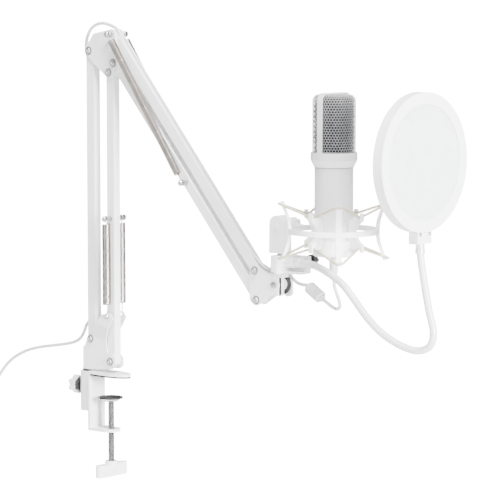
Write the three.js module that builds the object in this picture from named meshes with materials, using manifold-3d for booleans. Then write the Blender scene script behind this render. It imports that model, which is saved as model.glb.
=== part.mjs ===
// Desktop microphone on a desk-clamped scissor arm, with a spider shock mount and a pop filter.
// Millimetres, +Z up. The arm lies in the XZ plane and reaches towards +X. The origin is the centre
// of the clamp's face: the point of the jaw pad above the clamp screw, where the desk top is held.
import * as THREE from 'three';
import { mergeVertices } from 'three/addons/utils/BufferGeometryUtils.js';
import { ConvexGeometry } from 'three/addons/geometries/ConvexGeometry.js';
import Module from 'manifold-3d';

const wasm = await Module();
wasm.setup();

// ---- driving dimensions ----------------------------------------------------------------------
const GAP = 0.3; // between pieces that touch
const FIT = 0.3; // radial clearance of pins and bolts in their holes

// desk clamp; heights in this file are measured from a level just below the clamp's upper jaw
const CLAMP_WIDTH = 27;
const THROAT = 23.3; // screw axis to the inside of the web
const SHEET = 3; // thickness of the clamp's bent plate
const JAW_TIP = 31; // screw axis to the front of the upper jaw
const JAW_TOP = 9.3;
const PAD = 1.7;
const JAW_FACE = JAW_TOP - SHEET - GAP - PAD; // the jaw pad's underside, where the origin lies
const SHELF_TIP = 11;
const SHELF_TOP = -60.2;
const DESK = 25.2; // thickness of the desk top that is clamped
const DISC_PAD = 1.7;
const SCREW_R = 4;
const SCREW_LENGTH = 79;
const DISC_R = 14.6;
const HANDLE_LENGTH = 50;
const HANDLE_HEIGHT = 15;
const HANDLE_THICK = 10;

// swivel base
const SWIVEL_X = -37;
const SOCKET_R = 10.5;
const SOCKET_TOP = 8;
const SOCKET_LENGTH = 48.5;
const PIN_R = 4.5;
const KNOB_R = 11.5;
const KNOB_LENGTH = 9;

// arm linkage, pivot places in the XZ plane
const ARM = 350; // pivot to pivot, both stages
const FOOT = { x: -27, z: 48.8 }; // rear pivot of the lower stage
const LOWER_LINK = { x: 33, z: -25.5 }; // rear pivot to front pivot, at the foot and at the elbow
const ELBOW_RISE = { x: 38.2, z: 20 }; // rear elbow pivot to the upper bar's pivot
const UPPER_LINK = { x: 2.5, z: -34 }; // upper bar's pivot to the lower bar's pivot
const SLOPE = THREE.MathUtils.degToRad(49.7); // upper stage below the horizontal
const BAR = 12.5; // bar width in the plane of the arm
const SLIM_BAR = 11.5;
const BAR_DEPTH = 10.6; // bar width across the arm
const BAR_WALL = 1.3;
const PLATE = 1.6;
const PLATE_IN = 5.9; // arm's middle plane to the inside of a side plate
const BOLT_R = 2.4;
const BOLT_HEAD_R = 3.6;
const BOLT_HEAD = 3.4;

// balance springs
const SPRING_Y = 13;
const LOWER_SPRING_R = 5.3;
const UPPER_SPRING_R = 4.6;
const LOWER_SPRING_TOP = 174.2; // front foot pivot to the spring bolt, along the bar
const UPPER_SPRING_END = 180; // lower bar's pivot to the spring bolt, along the bar
const HOOK_WIRE = 0.8;

// head
const HEAD_REACH = { x: 29, z: -14.6 }; // upper bar's head pivot to the tilt pivot
const KNUCKLE_Z = [124.5, 150];
const STUD_X = 271.5;
const STUD_R = 4.7;
const MOUNT_Z = 204.2; // tilt screw and the shock mount's ring
const BASE_BLOCK = { width: 19, depth: 16.6, bottom: 174, top: 217 };

// shock mount and microphone
const MIC_X = 348.5;
const RING_R = 51;
const RING_THICK = 4;
const RING_BAND = 6;
const RIB_TIP_R = 60;
const RIB_HEIGHT = 67;
const RIB_WIDTH = 6.5;
const RIB_THICK = 4;
const CRADLE_R = 24;
const CRADLE_BOTTOM = 176;
const CRADLE_HEIGHT = 13.6;
const HOOK_R = 41.5;
const HOOK_RISE = 16.5;
const BAND_R = 1.1;
const MIC_R = 21.8;
const MIC_WALL = 1.8;
const MIC_BODY_TOP = 275;
const COLLAR_R = 26.3;
const COLLAR_TOP = 292.5;
const GRILLE_R = 24.4;
const GRILLE_WALL = 1.2;
const MIC_TOP = 359;
const STRAP_WIDTH = 7;

// pop filter
const POP_X = 470;
const POP_Z = 286.8;
const POP_R = 76.5;
const POP_RIM = 11.7;
const POP_INNER_R = POP_R - POP_RIM;
const POP_DEPTH = 12.5;
const NECK_R = 4.2;
const CLAMP_Z = [151, 171.6];

// cable
const CABLE_R = 2;

// ---- materials -------------------------------------------------------------------------------
const paint = (color, roughness, metalness) => () =>
  new THREE.MeshStandardMaterial({ color, roughness, metalness });
const white = paint(0xe9e9ea, 0.42, 0.05);
const satin = paint(0xdedfe2, 0.35, 0.3);
const steel = paint(0x9a9692, 0.32, 0.95);
const black = paint(0x161616, 0.7, 0);
const plastic = paint(0xf2f2f2, 0.5, 0);
const gauze = paint(0xf0f0f0, 0.9, 0);
const cream = paint(0xd9d3c0, 0.85, 0);
const silver = paint(0xb9b9b9, 0.35, 0.85);
const gold = paint(0xc9a24a, 0.3, 0.9);
const green = paint(0x1f5b3a, 0.5, 0.1);
const sleeve = paint(0xe6e6e6, 0.55, 0);

// ---- tools -----------------------------------------------------------------------------------
function signedVolume(geometry) {
  const p = geometry.attributes.position;
  const index = geometry.index;
  const [a, b, c] = [new THREE.Vector3(), new THREE.Vector3(), new THREE.Vector3()];
  let volume = 0;
  for (let i = 0; i < index.count; i += 3) {
    a.fromBufferAttribute(p, index.getX(i));
    b.fromBufferAttribute(p, index.getX(i + 1));
    c.fromBufferAttribute(p, index.getX(i + 2));
    volume += a.dot(b.cross(c)) / 6;
  }
  return volume;
}

// a closed geometry with shared corners and its faces pointing out
function closed(geometry) {
  const bare = geometry.clone();
  bare.deleteAttribute('normal');
  bare.deleteAttribute('uv');
  const merged = mergeVertices(bare, 1e-4);
  if (signedVolume(merged) < 0) {
    merged.index.array.reverse();
  }
  return merged;
}

function solid(geometry) {
  const shared = closed(geometry);
  const vertProperties = new Float32Array(shared.attributes.position.array);
  const triVerts = new Uint32Array(shared.index.array);
  return new wasm.Manifold(new wasm.Mesh({ numProp: 3, vertProperties, triVerts }));
}

function geometryOf(manifold) {
  const mesh = manifold.getMesh();
  const geometry = new THREE.BufferGeometry();
  geometry.setAttribute('position', new THREE.BufferAttribute(mesh.vertProperties, 3));
  geometry.setIndex(new THREE.BufferAttribute(mesh.triVerts, 1));
  return geometry;
}

const join = (first, ...rest) => geometryOf(rest.reduce((a, b) => a.add(solid(b)), solid(first)));
const cut = (first, ...rest) => geometryOf(rest.reduce((a, b) => a.subtract(solid(b)), solid(first)));

function box(x0, x1, y0, y1, z0, z1) {
  const geometry = new THREE.BoxGeometry(x1 - x0, y1 - y0, z1 - z0);
  return geometry.translate((x0 + x1) / 2, (y0 + y1) / 2, (z0 + z1) / 2);
}

// a round bar from one point to another
function rod(from, to, radius, sides = 16, endRadius = radius) {
  const [a, b] = [new THREE.Vector3(...from), new THREE.Vector3(...to)];
  const along = b.clone().sub(a);
  const geometry = new THREE.CylinderGeometry(endRadius, radius, along.length(), sides);
  const up = new THREE.Vector3(0, 1, 0);
  geometry.applyQuaternion(new THREE.Quaternion().setFromUnitVectors(up, along.normalize()));
  return geometry.translate(...a.add(b).multiplyScalar(0.5).toArray());
}

// [radius, height] corners turned about Z
const lathe = (profile, sides = 28) =>
  new THREE.LatheGeometry(profile.map(([r, z]) => new THREE.Vector2(r, z)), sides).rotateX(Math.PI / 2);

// [radius, distance] corners turned about an axis along +Y through (x, z)
const latheY = (profile, x, z, sides = 16) =>
  new THREE.LatheGeometry(profile.map(([r, y]) => new THREE.Vector2(r, y)), sides).translate(x, 0, z);

// an outline in the XZ plane, thick from y0 to y1
function slab(shape, y0, y1, curveSegments = 8) {
  const options = { depth: y1 - y0, bevelEnabled: false, curveSegments };
  return new THREE.ExtrudeGeometry(shape, options).rotateX(Math.PI / 2).translate(0, y1, 0);
}

// an outline in the XY plane, thick from z0 to z1
function tile(shape, z0, z1, curveSegments = 8) {
  const options = { depth: z1 - z0, bevelEnabled: false, curveSegments };
  return new THREE.ExtrudeGeometry(shape, options).translate(0, 0, z0);
}

// the outline that a band round several circles {x, z, r} would take
function bandOutline(circles, steps = 16) {
  const points = [];
  for (const { x, z, r } of circles) {
    for (let i = 0; i < steps; i += 1) {
      const angle = (i / steps) * 2 * Math.PI;
      points.push([x + r * Math.cos(angle), z + r * Math.sin(angle)]);
    }
  }
  points.sort((a, b) => a[0] - b[0] || a[1] - b[1]);
  const half = (list) => {
    const chain = [];
    for (const p of list) {
      while (chain.length > 1) {
        const [a, b] = chain.slice(-2);
        const turn = (b[0] - a[0]) * (p[1] - a[1]) - (b[1] - a[1]) * (p[0] - a[0]);
        if (turn > 1e-6) break;
        chain.pop();
      }
      chain.push(p);
    }
    return chain.slice(0, -1);
  };
  const hull = [...half(points), ...half(points.slice().reverse())];
  return new THREE.Shape(hull.map(([x, z]) => new THREE.Vector2(x, z)));
}

const outline = (corners) => new THREE.Shape(corners.map(([x, z]) => new THREE.Vector2(x, z)));

function circle(radius, sides) {
  const corners = [];
  for (let i = 0; i < sides; i += 1) {
    const angle = (i / sides) * 2 * Math.PI;
    corners.push([radius * Math.cos(angle), radius * Math.sin(angle)]);
  }
  return outline(corners);
}

const spline = (points) =>
  new THREE.CatmullRomCurve3(points.map((p) => new THREE.Vector3(...p)), false, 'centripetal');

// a round cord along a curve, or along hand-placed points
function cord(route, radius, sides = 8, step = 2.8 * 2 * radius) {
  const path = Array.isArray(route) ? spline(route) : route;
  const steps = Math.min(80, Math.max(4, Math.round(path.getLength() / step)));
  const options = { steps, bevelEnabled: false, extrudePath: path };
  return new THREE.ExtrudeGeometry(circle(radius, sides), options);
}

// the stretch of a longer curve from one parameter to another
class Stretch extends THREE.Curve {
  constructor(whole, from, to) {
    super();
    this.whole = whole;
    this.from = from;
    this.to = to;
  }

  getPoint(t, target = new THREE.Vector3()) {
    return this.whole.getPoint(this.from + (this.to - this.from) * t, target);
  }
}

// a closed loop of cord through corner points
function loop(points, radius, sides = 6) {
  const corners = points.map((p) => new THREE.Vector3(...p));
  const count = corners.length;
  const positions = [];
  const index = [];
  corners.forEach((corner, i) => {
    const before = corners[(i + count - 1) % count];
    const after = corners[(i + 1) % count];
    const along = after.clone().sub(before).normalize();
    const side = new THREE.Vector3(0, 0, 1).cross(along).normalize();
    const up = along.clone().cross(side);
    for (let k = 0; k < sides; k += 1) {
      const angle = (k / sides) * 2 * Math.PI;
      const point = corner.clone();
      point.addScaledVector(side, radius * Math.cos(angle));
      point.addScaledVector(up, radius * Math.sin(angle));
      positions.push(...point.toArray());
      const [a, b] = [i * sides + k, i * sides + ((k + 1) % sides)];
      const [c, d] = [((i + 1) % count) * sides + k, ((i + 1) % count) * sides + ((k + 1) % sides)];
      index.push(a, c, b, b, c, d);
    }
  });
  const geometry = new THREE.BufferGeometry();
  geometry.setAttribute('position', new THREE.Float32BufferAttribute(positions, 3));
  geometry.setIndex(index);
  return geometry;
}

const group = new THREE.Group();
const rig = new THREE.Group(); // brings the jaw pad's underside to height 0
rig.position.z = -JAW_FACE;
group.add(rig);

let carrier = rig;

function add(name, geometry, material, parent = carrier) {
  const mesh = new THREE.Mesh(closed(geometry), material());
  mesh.name = name;
  parent.add(mesh);
  return mesh;
}

// ---- places that several pieces share ---------------------------------------------------------
const plus = (p, q) => ({ x: p.x + q.x, z: p.z + q.z });
const A1 = FOOT;
const A2 = plus(A1, LOWER_LINK);
const B1 = { x: A1.x, z: A1.z + ARM };
const B2 = { x: A2.x, z: A2.z + ARM };
const C1 = plus(B1, ELBOW_RISE);
const C2 = plus(C1, UPPER_LINK);
const REACH = { x: ARM * Math.cos(SLOPE), z: -ARM * Math.sin(SLOPE) };
const D1 = { x: 237.5764, z: 151.8661 }; // the head's pieces are drawn round this pivot
const D2 = plus(D1, UPPER_LINK);
const E = plus(D1, HEAD_REACH);
const head = new THREE.Group(); // carries them to the upper arm's end
head.position.set(C1.x + REACH.x - D1.x, 0, C1.z + REACH.z - D1.z);
rig.add(head);
const PLATE_OUT = PLATE_IN + PLATE;
const DOWN_UPPER = { x: Math.cos(SLOPE), z: -Math.sin(SLOPE) };
const SPRING_BOLT_LOW = { x: A2.x, z: A2.z + LOWER_SPRING_TOP };
const SPRING_BOLT_HIGH = {
  x: C2.x + UPPER_SPRING_END * DOWN_UPPER.x,
  z: C2.z + UPPER_SPRING_END * DOWN_UPPER.z,
};
const BRACKET_BOTTOM = SOCKET_TOP + 2.8;
const LOCK_Z = SOCKET_TOP - 19;

// ---- desk clamp ------------------------------------------------------------------------------
function tongue(tip, straight) {
  const half = CLAMP_WIDTH / 2;
  const shape = new THREE.Shape();
  shape.moveTo(-THROAT - SHEET, -half);
  shape.lineTo(straight, -half);
  shape.absellipse(straight, 0, tip - straight, half, -Math.PI / 2, Math.PI / 2, false, 0);
  shape.lineTo(-THROAT - SHEET, half);
  return shape;
}

function clampFrame() {
  const half = CLAMP_WIDTH / 2;
  const jaw = tile(tongue(JAW_TIP, 2), JAW_TOP - SHEET, JAW_TOP, 10);
  const shelf = tile(tongue(SHELF_TIP, -4), SHELF_TOP - SHEET, SHELF_TOP, 10);
  const web = box(-THROAT - SHEET, -THROAT, -half, half, SHELF_TOP - SHEET, JAW_TOP);
  const socketBottom = SOCKET_TOP - SOCKET_LENGTH;
  const socket = rod([SWIVEL_X, 0, socketBottom], [SWIVEL_X, 0, SOCKET_TOP], SOCKET_R, 28);
  const bridge = box(SWIVEL_X, -THROAT - SHEET / 2, -6, 6, socketBottom, SOCKET_TOP - 1);
  const bore = rod([SWIVEL_X, 0, socketBottom - 1], [SWIVEL_X, 0, SOCKET_TOP + 1], PIN_R + FIT, 20);
  const screwHole = rod([0, 0, SHELF_TOP - SHEET - 1], [0, 0, SHELF_TOP + 1], SCREW_R + FIT, 20);
  const lockHole = rod([SWIVEL_X - SOCKET_R - 1, 0, LOCK_Z], [SWIVEL_X, 0, LOCK_Z], 3 + FIT, 12);
  return cut(join(jaw, shelf, web, socket, bridge), bore, screwHole, lockHole);
}

function clampParts() {
  add('clamp_frame', clampFrame(), white);
  const pad = new THREE.Shape();
  const inset = 0.3;
  pad.moveTo(-THROAT + 1, -CLAMP_WIDTH / 2 + inset);
  pad.lineTo(2, -CLAMP_WIDTH / 2 + inset);
  pad.absellipse(2, 0, JAW_TIP - 2 - inset, CLAMP_WIDTH / 2 - inset, -Math.PI / 2, Math.PI / 2, false, 0);
  pad.lineTo(-THROAT + 1, CLAMP_WIDTH / 2 - inset);
  add('clamp_jaw_pad', tile(pad, JAW_FACE, JAW_FACE + PAD, 10), black);

  const padTop = JAW_FACE - DESK;
  const padLow = padTop - DISC_PAD;
  add('clamp_disc_pad', lathe([[0, padLow], [DISC_R, padLow], [DISC_R, padTop], [0, padTop]]), black);
  const cupTop = padLow - GAP;
  const cupLow = cupTop - 3.4;
  const cup = [[0, cupTop], [DISC_R - 3, cupTop], [DISC_R - 4.2, cupTop - 1.6], [7.6, cupLow], [0, cupLow]];
  add('clamp_disc', lathe(cup, 28), satin);
  const screwTop = cupLow - GAP;
  const screwLow = screwTop - SCREW_LENGTH;
  const screw = [[0, screwLow], [SCREW_R, screwLow], [SCREW_R, screwTop], [0, screwTop]];
  add('clamp_screw', lathe(screw, 20), steel);
  const collarTop = screwLow + 6;
  const collar = rod([0, 0, screwLow - 3], [0, 0, collarTop], 7.6, 24);
  const barTop = screwLow + 2.4;
  const handleEnd = (HANDLE_LENGTH - HANDLE_THICK) / 2;
  const bar = tile(
    bandOutline([
      { x: 0, z: -handleEnd, r: HANDLE_THICK / 2 },
      { x: 0, z: handleEnd, r: HANDLE_THICK / 2 },
    ], 16),
    barTop - HANDLE_HEIGHT,
    barTop,
  );
  const pocket = rod([0, 0, screwLow - GAP], [0, 0, collarTop + 1], SCREW_R + GAP, 20);
  add('clamp_handle', cut(join(collar, bar), pocket), plastic);
}

// ---- swivel base -----------------------------------------------------------------------------
function starOutline(radius, lobes, dip) {
  const corners = [];
  const count = lobes * 8;
  for (let i = 0; i < count; i += 1) {
    const angle = (i / count) * 2 * Math.PI;
    const r = radius - dip / 2 + (dip / 2) * Math.cos(lobes * angle);
    corners.push([r * Math.cos(angle), r * Math.sin(angle)]);
  }
  return outline(corners);
}

function earOutline() {
  return [
    { x: A2.x - 18, z: A2.z + 46.6 },
    { x: A2.x + 0.8, z: A2.z + 40.6 },
    { x: A2.x + 9, z: A2.z + 53.6 },
    { x: A2.x + 4.5, z: A2.z + 60 },
    { x: A2.x - 9.4, z: A2.z + 57.6 },
  ];
}

function baseBracket() {
  const bend = [{ x: A1.x - 1.6, z: A1.z + 6.9 }, { x: A2.x - 7, z: A1.z }];
  const cheek = outline([
    [SWIVEL_X - 2.8, BRACKET_BOTTOM],
    [A2.x + 3, BRACKET_BOTTOM + 3.4],
    [A2.x + 8.5, A2.z - 5],
    [A2.x + 8.5, A2.z + 4],
    [A2.x + 3, A2.z + 9.5],
    [A2.x - 5, A2.z + 11],
    [bend[1].x, bend[1].z],
    [bend[0].x, bend[0].z],
    [SWIVEL_X - 0.6, A1.z - 9.6],
    [SWIVEL_X - 2.8, A1.z - 11.7],
  ]);
  const floor = bandOutline([
    { x: SWIVEL_X, z: 0, r: PLATE_OUT },
    { x: SWIVEL_X + 10, z: 0, r: PLATE_OUT },
  ]);
  const pieces = [tile(floor, BRACKET_BOTTOM, BRACKET_BOTTOM + PLATE + 0.6)];
  const ear = earOutline();
  for (const side of [-1, 1]) {
    const [inner, outer] = [side * PLATE_IN, side * PLATE_OUT];
    pieces.push(slab(cheek, Math.min(inner, outer), Math.max(inner, outer)));
    const [earIn, earOut] = [side * (SPRING_Y - 2.2), side * (SPRING_Y - 0.6)];
    const flank = [];
    for (const point of bend) {
      flank.push(new THREE.Vector3(point.x, inner, point.z - 0.8), new THREE.Vector3(point.x, outer, point.z - 1.4));
    }
    for (const point of ear.slice(0, 2)) {
      flank.push(new THREE.Vector3(point.x, earIn, point.z + 0.8), new THREE.Vector3(point.x, earOut, point.z));
    }
    pieces.push(new ConvexGeometry(flank));
    const flap = outline(ear.map(({ x, z }) => [x, z]));
    pieces.push(slab(flap, Math.min(earIn, earOut), Math.max(earIn, earOut)));
  }
  const eyelet = { x: A2.x + 0.5, z: A2.z + 56.5 };
  const eyelets = rod([eyelet.x, -SPRING_Y - 2, eyelet.z], [eyelet.x, SPRING_Y + 2, eyelet.z], 2.2, 10);
  const pinHole = rod([SWIVEL_X, 0, BRACKET_BOTTOM - 1], [SWIVEL_X, 0, BRACKET_BOTTOM + 4], PIN_R + GAP, 20);
  return join(cut(join(...pieces), eyelets, pinHole), rivet(A1), rivet(A2));
}

// a pivot rivet closed on both side plates of a bracket
function rivet({ x, z }) {
  const [start, end] = [PLATE_OUT - 0.4, PLATE_OUT + BOLT_HEAD];
  return latheY([
    [0, -end],
    [BOLT_HEAD_R * 0.6, -end + 0.6],
    [BOLT_HEAD_R * 0.95, -start - 1.4],
    [BOLT_HEAD_R, -start],
    [BOLT_R, -start],
    [BOLT_R, start],
    [BOLT_HEAD_R, start],
    [BOLT_HEAD_R * 0.95, start + 1.4],
    [BOLT_HEAD_R * 0.6, end - 0.6],
    [0, end],
  ], x, z, 10);
}

// a bolt across the arm: domed head on the near side, nut on the far side
function bolt(name, place, half = PLATE_OUT + GAP, headLength = BOLT_HEAD, material = steel) {
  const profile = [
    [0, -half - headLength],
    [BOLT_HEAD_R * 0.55, -half - headLength * 0.86],
    [BOLT_HEAD_R * 0.95, -half - headLength * 0.4],
    [BOLT_HEAD_R, -half],
    [BOLT_R, -half],
    [BOLT_R, half],
    [BOLT_HEAD_R, half],
    [BOLT_HEAD_R, half + headLength * 0.8],
    [0, half + headLength * 0.8],
  ];
  add(name, latheY(profile, place.x, place.z, 12), material);
}

function baseParts() {
  const rod6 = 3;
  const nutIn = SWIVEL_X - SOCKET_R - GAP;
  const nut = new THREE.CylinderGeometry(9.6, 9.6, 5.4, 6).rotateZ(Math.PI / 2);
  nut.translate(nutIn - 2.7, 0, LOCK_Z);
  const nutHole = rod([nutIn - 8, 0, LOCK_Z], [nutIn + 2, 0, LOCK_Z], rod6 + FIT, 12);
  add('lock_nut', cut(nut, nutHole), black);
  const knobIn = nutIn - 5.4 - GAP;
  const star = new THREE.ExtrudeGeometry(starOutline(KNOB_R, 6, 3), { depth: KNOB_LENGTH, bevelEnabled: false });
  star.rotateY(-Math.PI / 2).translate(knobIn, 0, LOCK_Z);
  const shank = rod([knobIn - 1, 0, LOCK_Z], [SWIVEL_X - PIN_R - 1, 0, LOCK_Z], rod6, 12);
  add('lock_knob', join(star, shank), plastic);
  const washer = [
    [PIN_R + GAP, SOCKET_TOP + GAP],
    [8, SOCKET_TOP + GAP],
    [8, BRACKET_BOTTOM - GAP],
    [PIN_R + GAP, BRACKET_BOTTOM - GAP],
    [PIN_R + GAP, SOCKET_TOP + GAP],
  ];
  add('swivel_washer', lathe(washer, 20).translate(SWIVEL_X, 0, 0), black);
  const pinBottom = SOCKET_TOP - SOCKET_LENGTH + 3;
  const pinTop = BRACKET_BOTTOM + PLATE + 0.6 + GAP;
  const pin = [[0, pinBottom], [PIN_R, pinBottom], [PIN_R, pinTop], [5.5, pinTop], [5, pinTop + 2], [0, pinTop + 2]];
  add('swivel_pin', lathe(pin, 20).translate(SWIVEL_X, 0, 0), steel);
  add('base_bracket', baseBracket(), white);
}

// ---- arm bars --------------------------------------------------------------------------------
// a bar along +X from its pivot at the origin; open says which long side is open, 0 for a closed tube
function bar(length, width, open, extraHoles = []) {
  const body = slab(
    bandOutline([{ x: 0, z: 0, r: width / 2 }, { x: length, z: 0, r: width / 2 }], 16),
    -BAR_DEPTH / 2,
    BAR_DEPTH / 2,
  );
  const inner = width / 2 - BAR_WALL;
  const low = open < 0 ? -width : -inner;
  const high = open > 0 ? width : inner;
  const depth = BAR_DEPTH / 2 - BAR_WALL;
  const hollow = box(-width, length + width, -depth, depth, low, high);
  const holes = [0, length, ...extraHoles].map((x) =>
    rod([x, -BAR_DEPTH, 0], [x, BAR_DEPTH, 0], BOLT_R + FIT, 12));
  return cut(body, hollow, ...holes);
}

function frameAt(place, turn) {
  const frame = new THREE.Group();
  frame.position.set(place.x, 0, place.z);
  frame.rotation.y = turn;
  rig.add(frame);
  return frame;
}

// a tension spring from one pivot to another: a closed coil with a hook ring at each end
function spring(name, from, to, y, radius, startGap, endGap, hook) {
  const along = new THREE.Vector3(to.x - from.x, 0, to.z - from.z);
  const length = along.length();
  along.normalize();
  const at = (s) => [from.x + along.x * s, y, from.z + along.z * s];
  const coil = rod(at(startGap), at(length - endGap), radius, 14);
  const eyes = [
    [at(startGap + 1), at(startGap - hook)],
    [at(length - endGap - 1), at(length - endGap + hook)],
  ];
  const links = eyes.map(([a, b]) => rod(a, b, HOOK_WIRE * 1.5, 8));
  add(name, join(coil, ...links), steel);
}

function lowerArm() {
  const upright = -Math.PI / 2;
  add('lower_rear_bar', bar(ARM, BAR, 1), white, frameAt(A1, upright));
  add('lower_front_bar', bar(ARM, SLIM_BAR, 0, [LOWER_SPRING_TOP]), white, frameAt(A2, upright));
  bolt('lower_spring_bolt', SPRING_BOLT_LOW, SPRING_Y + 2.6, 3.6);
  const eye = { x: A2.x + 0.5, z: A2.z + 56.5 };
  const springs = [['near', -1], ['far', 1]];
  for (const [side, sign] of springs) {
    spring(`lower_spring_${side}`, eye, SPRING_BOLT_LOW, sign * SPRING_Y, LOWER_SPRING_R, 13, 6.5, 3);
  }
}

function elbow() {
  const shape = bandOutline([
    { x: B1.x, z: B1.z, r: 7 },
    { x: B1.x + 12, z: B1.z + 14.7, r: 6.8 },
    { x: C1.x, z: C1.z, r: 6.5 },
    { x: C2.x + 1.5, z: B2.z + 2.7, r: 6.5 },
    { x: B2.x, z: B2.z, r: 6.5 },
  ]);
  const plates = [slab(shape, -PLATE_OUT, -PLATE_IN), slab(shape, PLATE_IN, PLATE_OUT)];
  const boltHole = rod([C1.x, -PLATE_OUT - 1, C1.z], [C1.x, PLATE_OUT + 1, C1.z], BOLT_R + FIT, 12);
  const riveted = join(...plates, rivet(B1), rivet(B2), rivet(C2));
  add('elbow_bracket', cut(riveted, boltHole), white);
  bolt('elbow_bolt', C1, SPRING_Y + 2.2, 3.6);
}

function upperArm() {
  add('upper_top_bar', bar(ARM, BAR, 1), white, frameAt(C1, SLOPE));
  add('upper_lower_bar', bar(ARM, SLIM_BAR, 0, [UPPER_SPRING_END]), white, frameAt(C2, SLOPE));
  bolt('upper_spring_bolt', SPRING_BOLT_HIGH, SPRING_Y + 2.2, 3.6);
  for (const [side, sign] of [['near', -1], ['far', 1]]) {
    spring(`upper_spring_${side}`, C1, SPRING_BOLT_HIGH, sign * SPRING_Y, UPPER_SPRING_R, 8, 12, 4);
  }
}

// ---- head ------------------------------------------------------------------------------------
function headParts() {
  const shape = bandOutline([
    { x: D1.x, z: D1.z, r: 7 },
    { x: D2.x, z: D2.z, r: 6.5 },
    { x: D2.x - 4, z: D2.z + 2, r: 6.3 },
    { x: E.x, z: E.z, r: 7.5 },
  ]);
  const plates = [slab(shape, -PLATE_OUT, -PLATE_IN), slab(shape, PLATE_IN, PLATE_OUT)];
  const boltHole = rod([E.x, -PLATE_OUT - 1, E.z], [E.x, PLATE_OUT + 1, E.z], BOLT_R + FIT, 12);
  add('head_bracket', cut(join(...plates, rivet(D1), rivet(D2)), boltHole), white);

  // tilt joint: a clevis of two cheeks round a friction pad, on a long bolt with a wing nut
  const front = STUD_X - 0.5;
  const [low, high] = KNUCKLE_Z;
  const pivotHole = rod([E.x, -20, E.z], [E.x, 20, E.z], BOLT_R + FIT, 12);
  const back = E.x - 9;
  const padHalf = 1.7;
  const padPlace = -1.4;
  const block = box(back, front, -PLATE_IN + GAP, PLATE_IN - GAP, low, high);
  const slot = box(back - 1, front + 1, padPlace - padHalf - GAP, padPlace + padHalf + GAP, low - 1, high - 4);
  const crown = box(back, STUD_X + 6, -PLATE_IN + GAP, PLATE_IN - GAP, high - 3.9, high);
  add('head_knuckle', cut(join(block, crown), slot, pivotHole), white);
  const pad = box(back + 0.4, front, padPlace - padHalf, padPlace + padHalf, low, high - 4 - GAP);
  add('head_friction_pad', cut(pad, pivotHole), black);
  const washer = latheY([
    [BOLT_R + GAP, PLATE_OUT + GAP],
    [12, PLATE_OUT + GAP],
    [12, PLATE_OUT + GAP + 1.8],
    [BOLT_R + GAP, PLATE_OUT + GAP + 1.8],
    [BOLT_R + GAP, PLATE_OUT + GAP],
  ], E.x, E.z, 24);
  add('head_washer', washer, black);
  const wingIn = PLATE_OUT + GAP + 1.8 + GAP;
  const tiltBolt = latheY([
    [0, -PLATE_OUT - GAP - BOLT_HEAD],
    [BOLT_HEAD_R * 0.95, -PLATE_OUT - GAP - BOLT_HEAD * 0.5],
    [BOLT_HEAD_R, -PLATE_OUT - GAP],
    [BOLT_R, -PLATE_OUT - GAP],
    [BOLT_R, wingIn + 11],
    [0, wingIn + 11],
  ], E.x, E.z, 12);
  add('head_tilt_bolt', tiltBolt, steel);
  const hub = rod([E.x, wingIn, E.z], [E.x, wingIn + 7, E.z], 6, 16);
  const wings = slab(
    bandOutline([{ x: E.x - 0.5, z: E.z + 10, r: 5.5 }, { x: E.x, z: E.z, r: 5 }, { x: E.x + 0.5, z: E.z - 10, r: 5.5 }], 16),
    wingIn + 6,
    wingIn + 10.6,
  );
  const wingHole = rod([E.x, wingIn - 1, E.z], [E.x, wingIn + 12, E.z], BOLT_R + FIT, 12);
  add('head_wing_nut', cut(join(hub, wings), wingHole), plastic);
  const studBottom = high + GAP;
  const stud = lathe([[0, studBottom], [STUD_R, studBottom], [STUD_R, 190], [0, 190]], 16);
  add('thread_stud', stud.translate(STUD_X, 0, 0), steel);
}

// ---- shock mount -----------------------------------------------------------------------------
function mountBase() {
  const { width, depth, bottom, top } = BASE_BLOCK;
  const centre = STUD_X - 1.5;
  const radius = width / 2;
  const shape = new THREE.Shape();
  shape.moveTo(centre - radius - 0.6, bottom);
  shape.lineTo(centre + radius, bottom);
  shape.lineTo(centre + radius, top - radius);
  shape.absarc(centre, top - radius, radius, 0, Math.PI, false);
  const block = slab(shape, -depth / 2, depth / 2, 12);
  const threadHole = rod([STUD_X, 0, bottom - 1], [STUD_X, 0, 190.6], STUD_R + GAP, 20);
  const screwHole = rod([STUD_X, -depth, MOUNT_Z], [STUD_X, depth, MOUNT_Z], 2.6 + FIT, 16);
  add('mount_base', cut(block, threadHole, screwHole), white);
}

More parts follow.
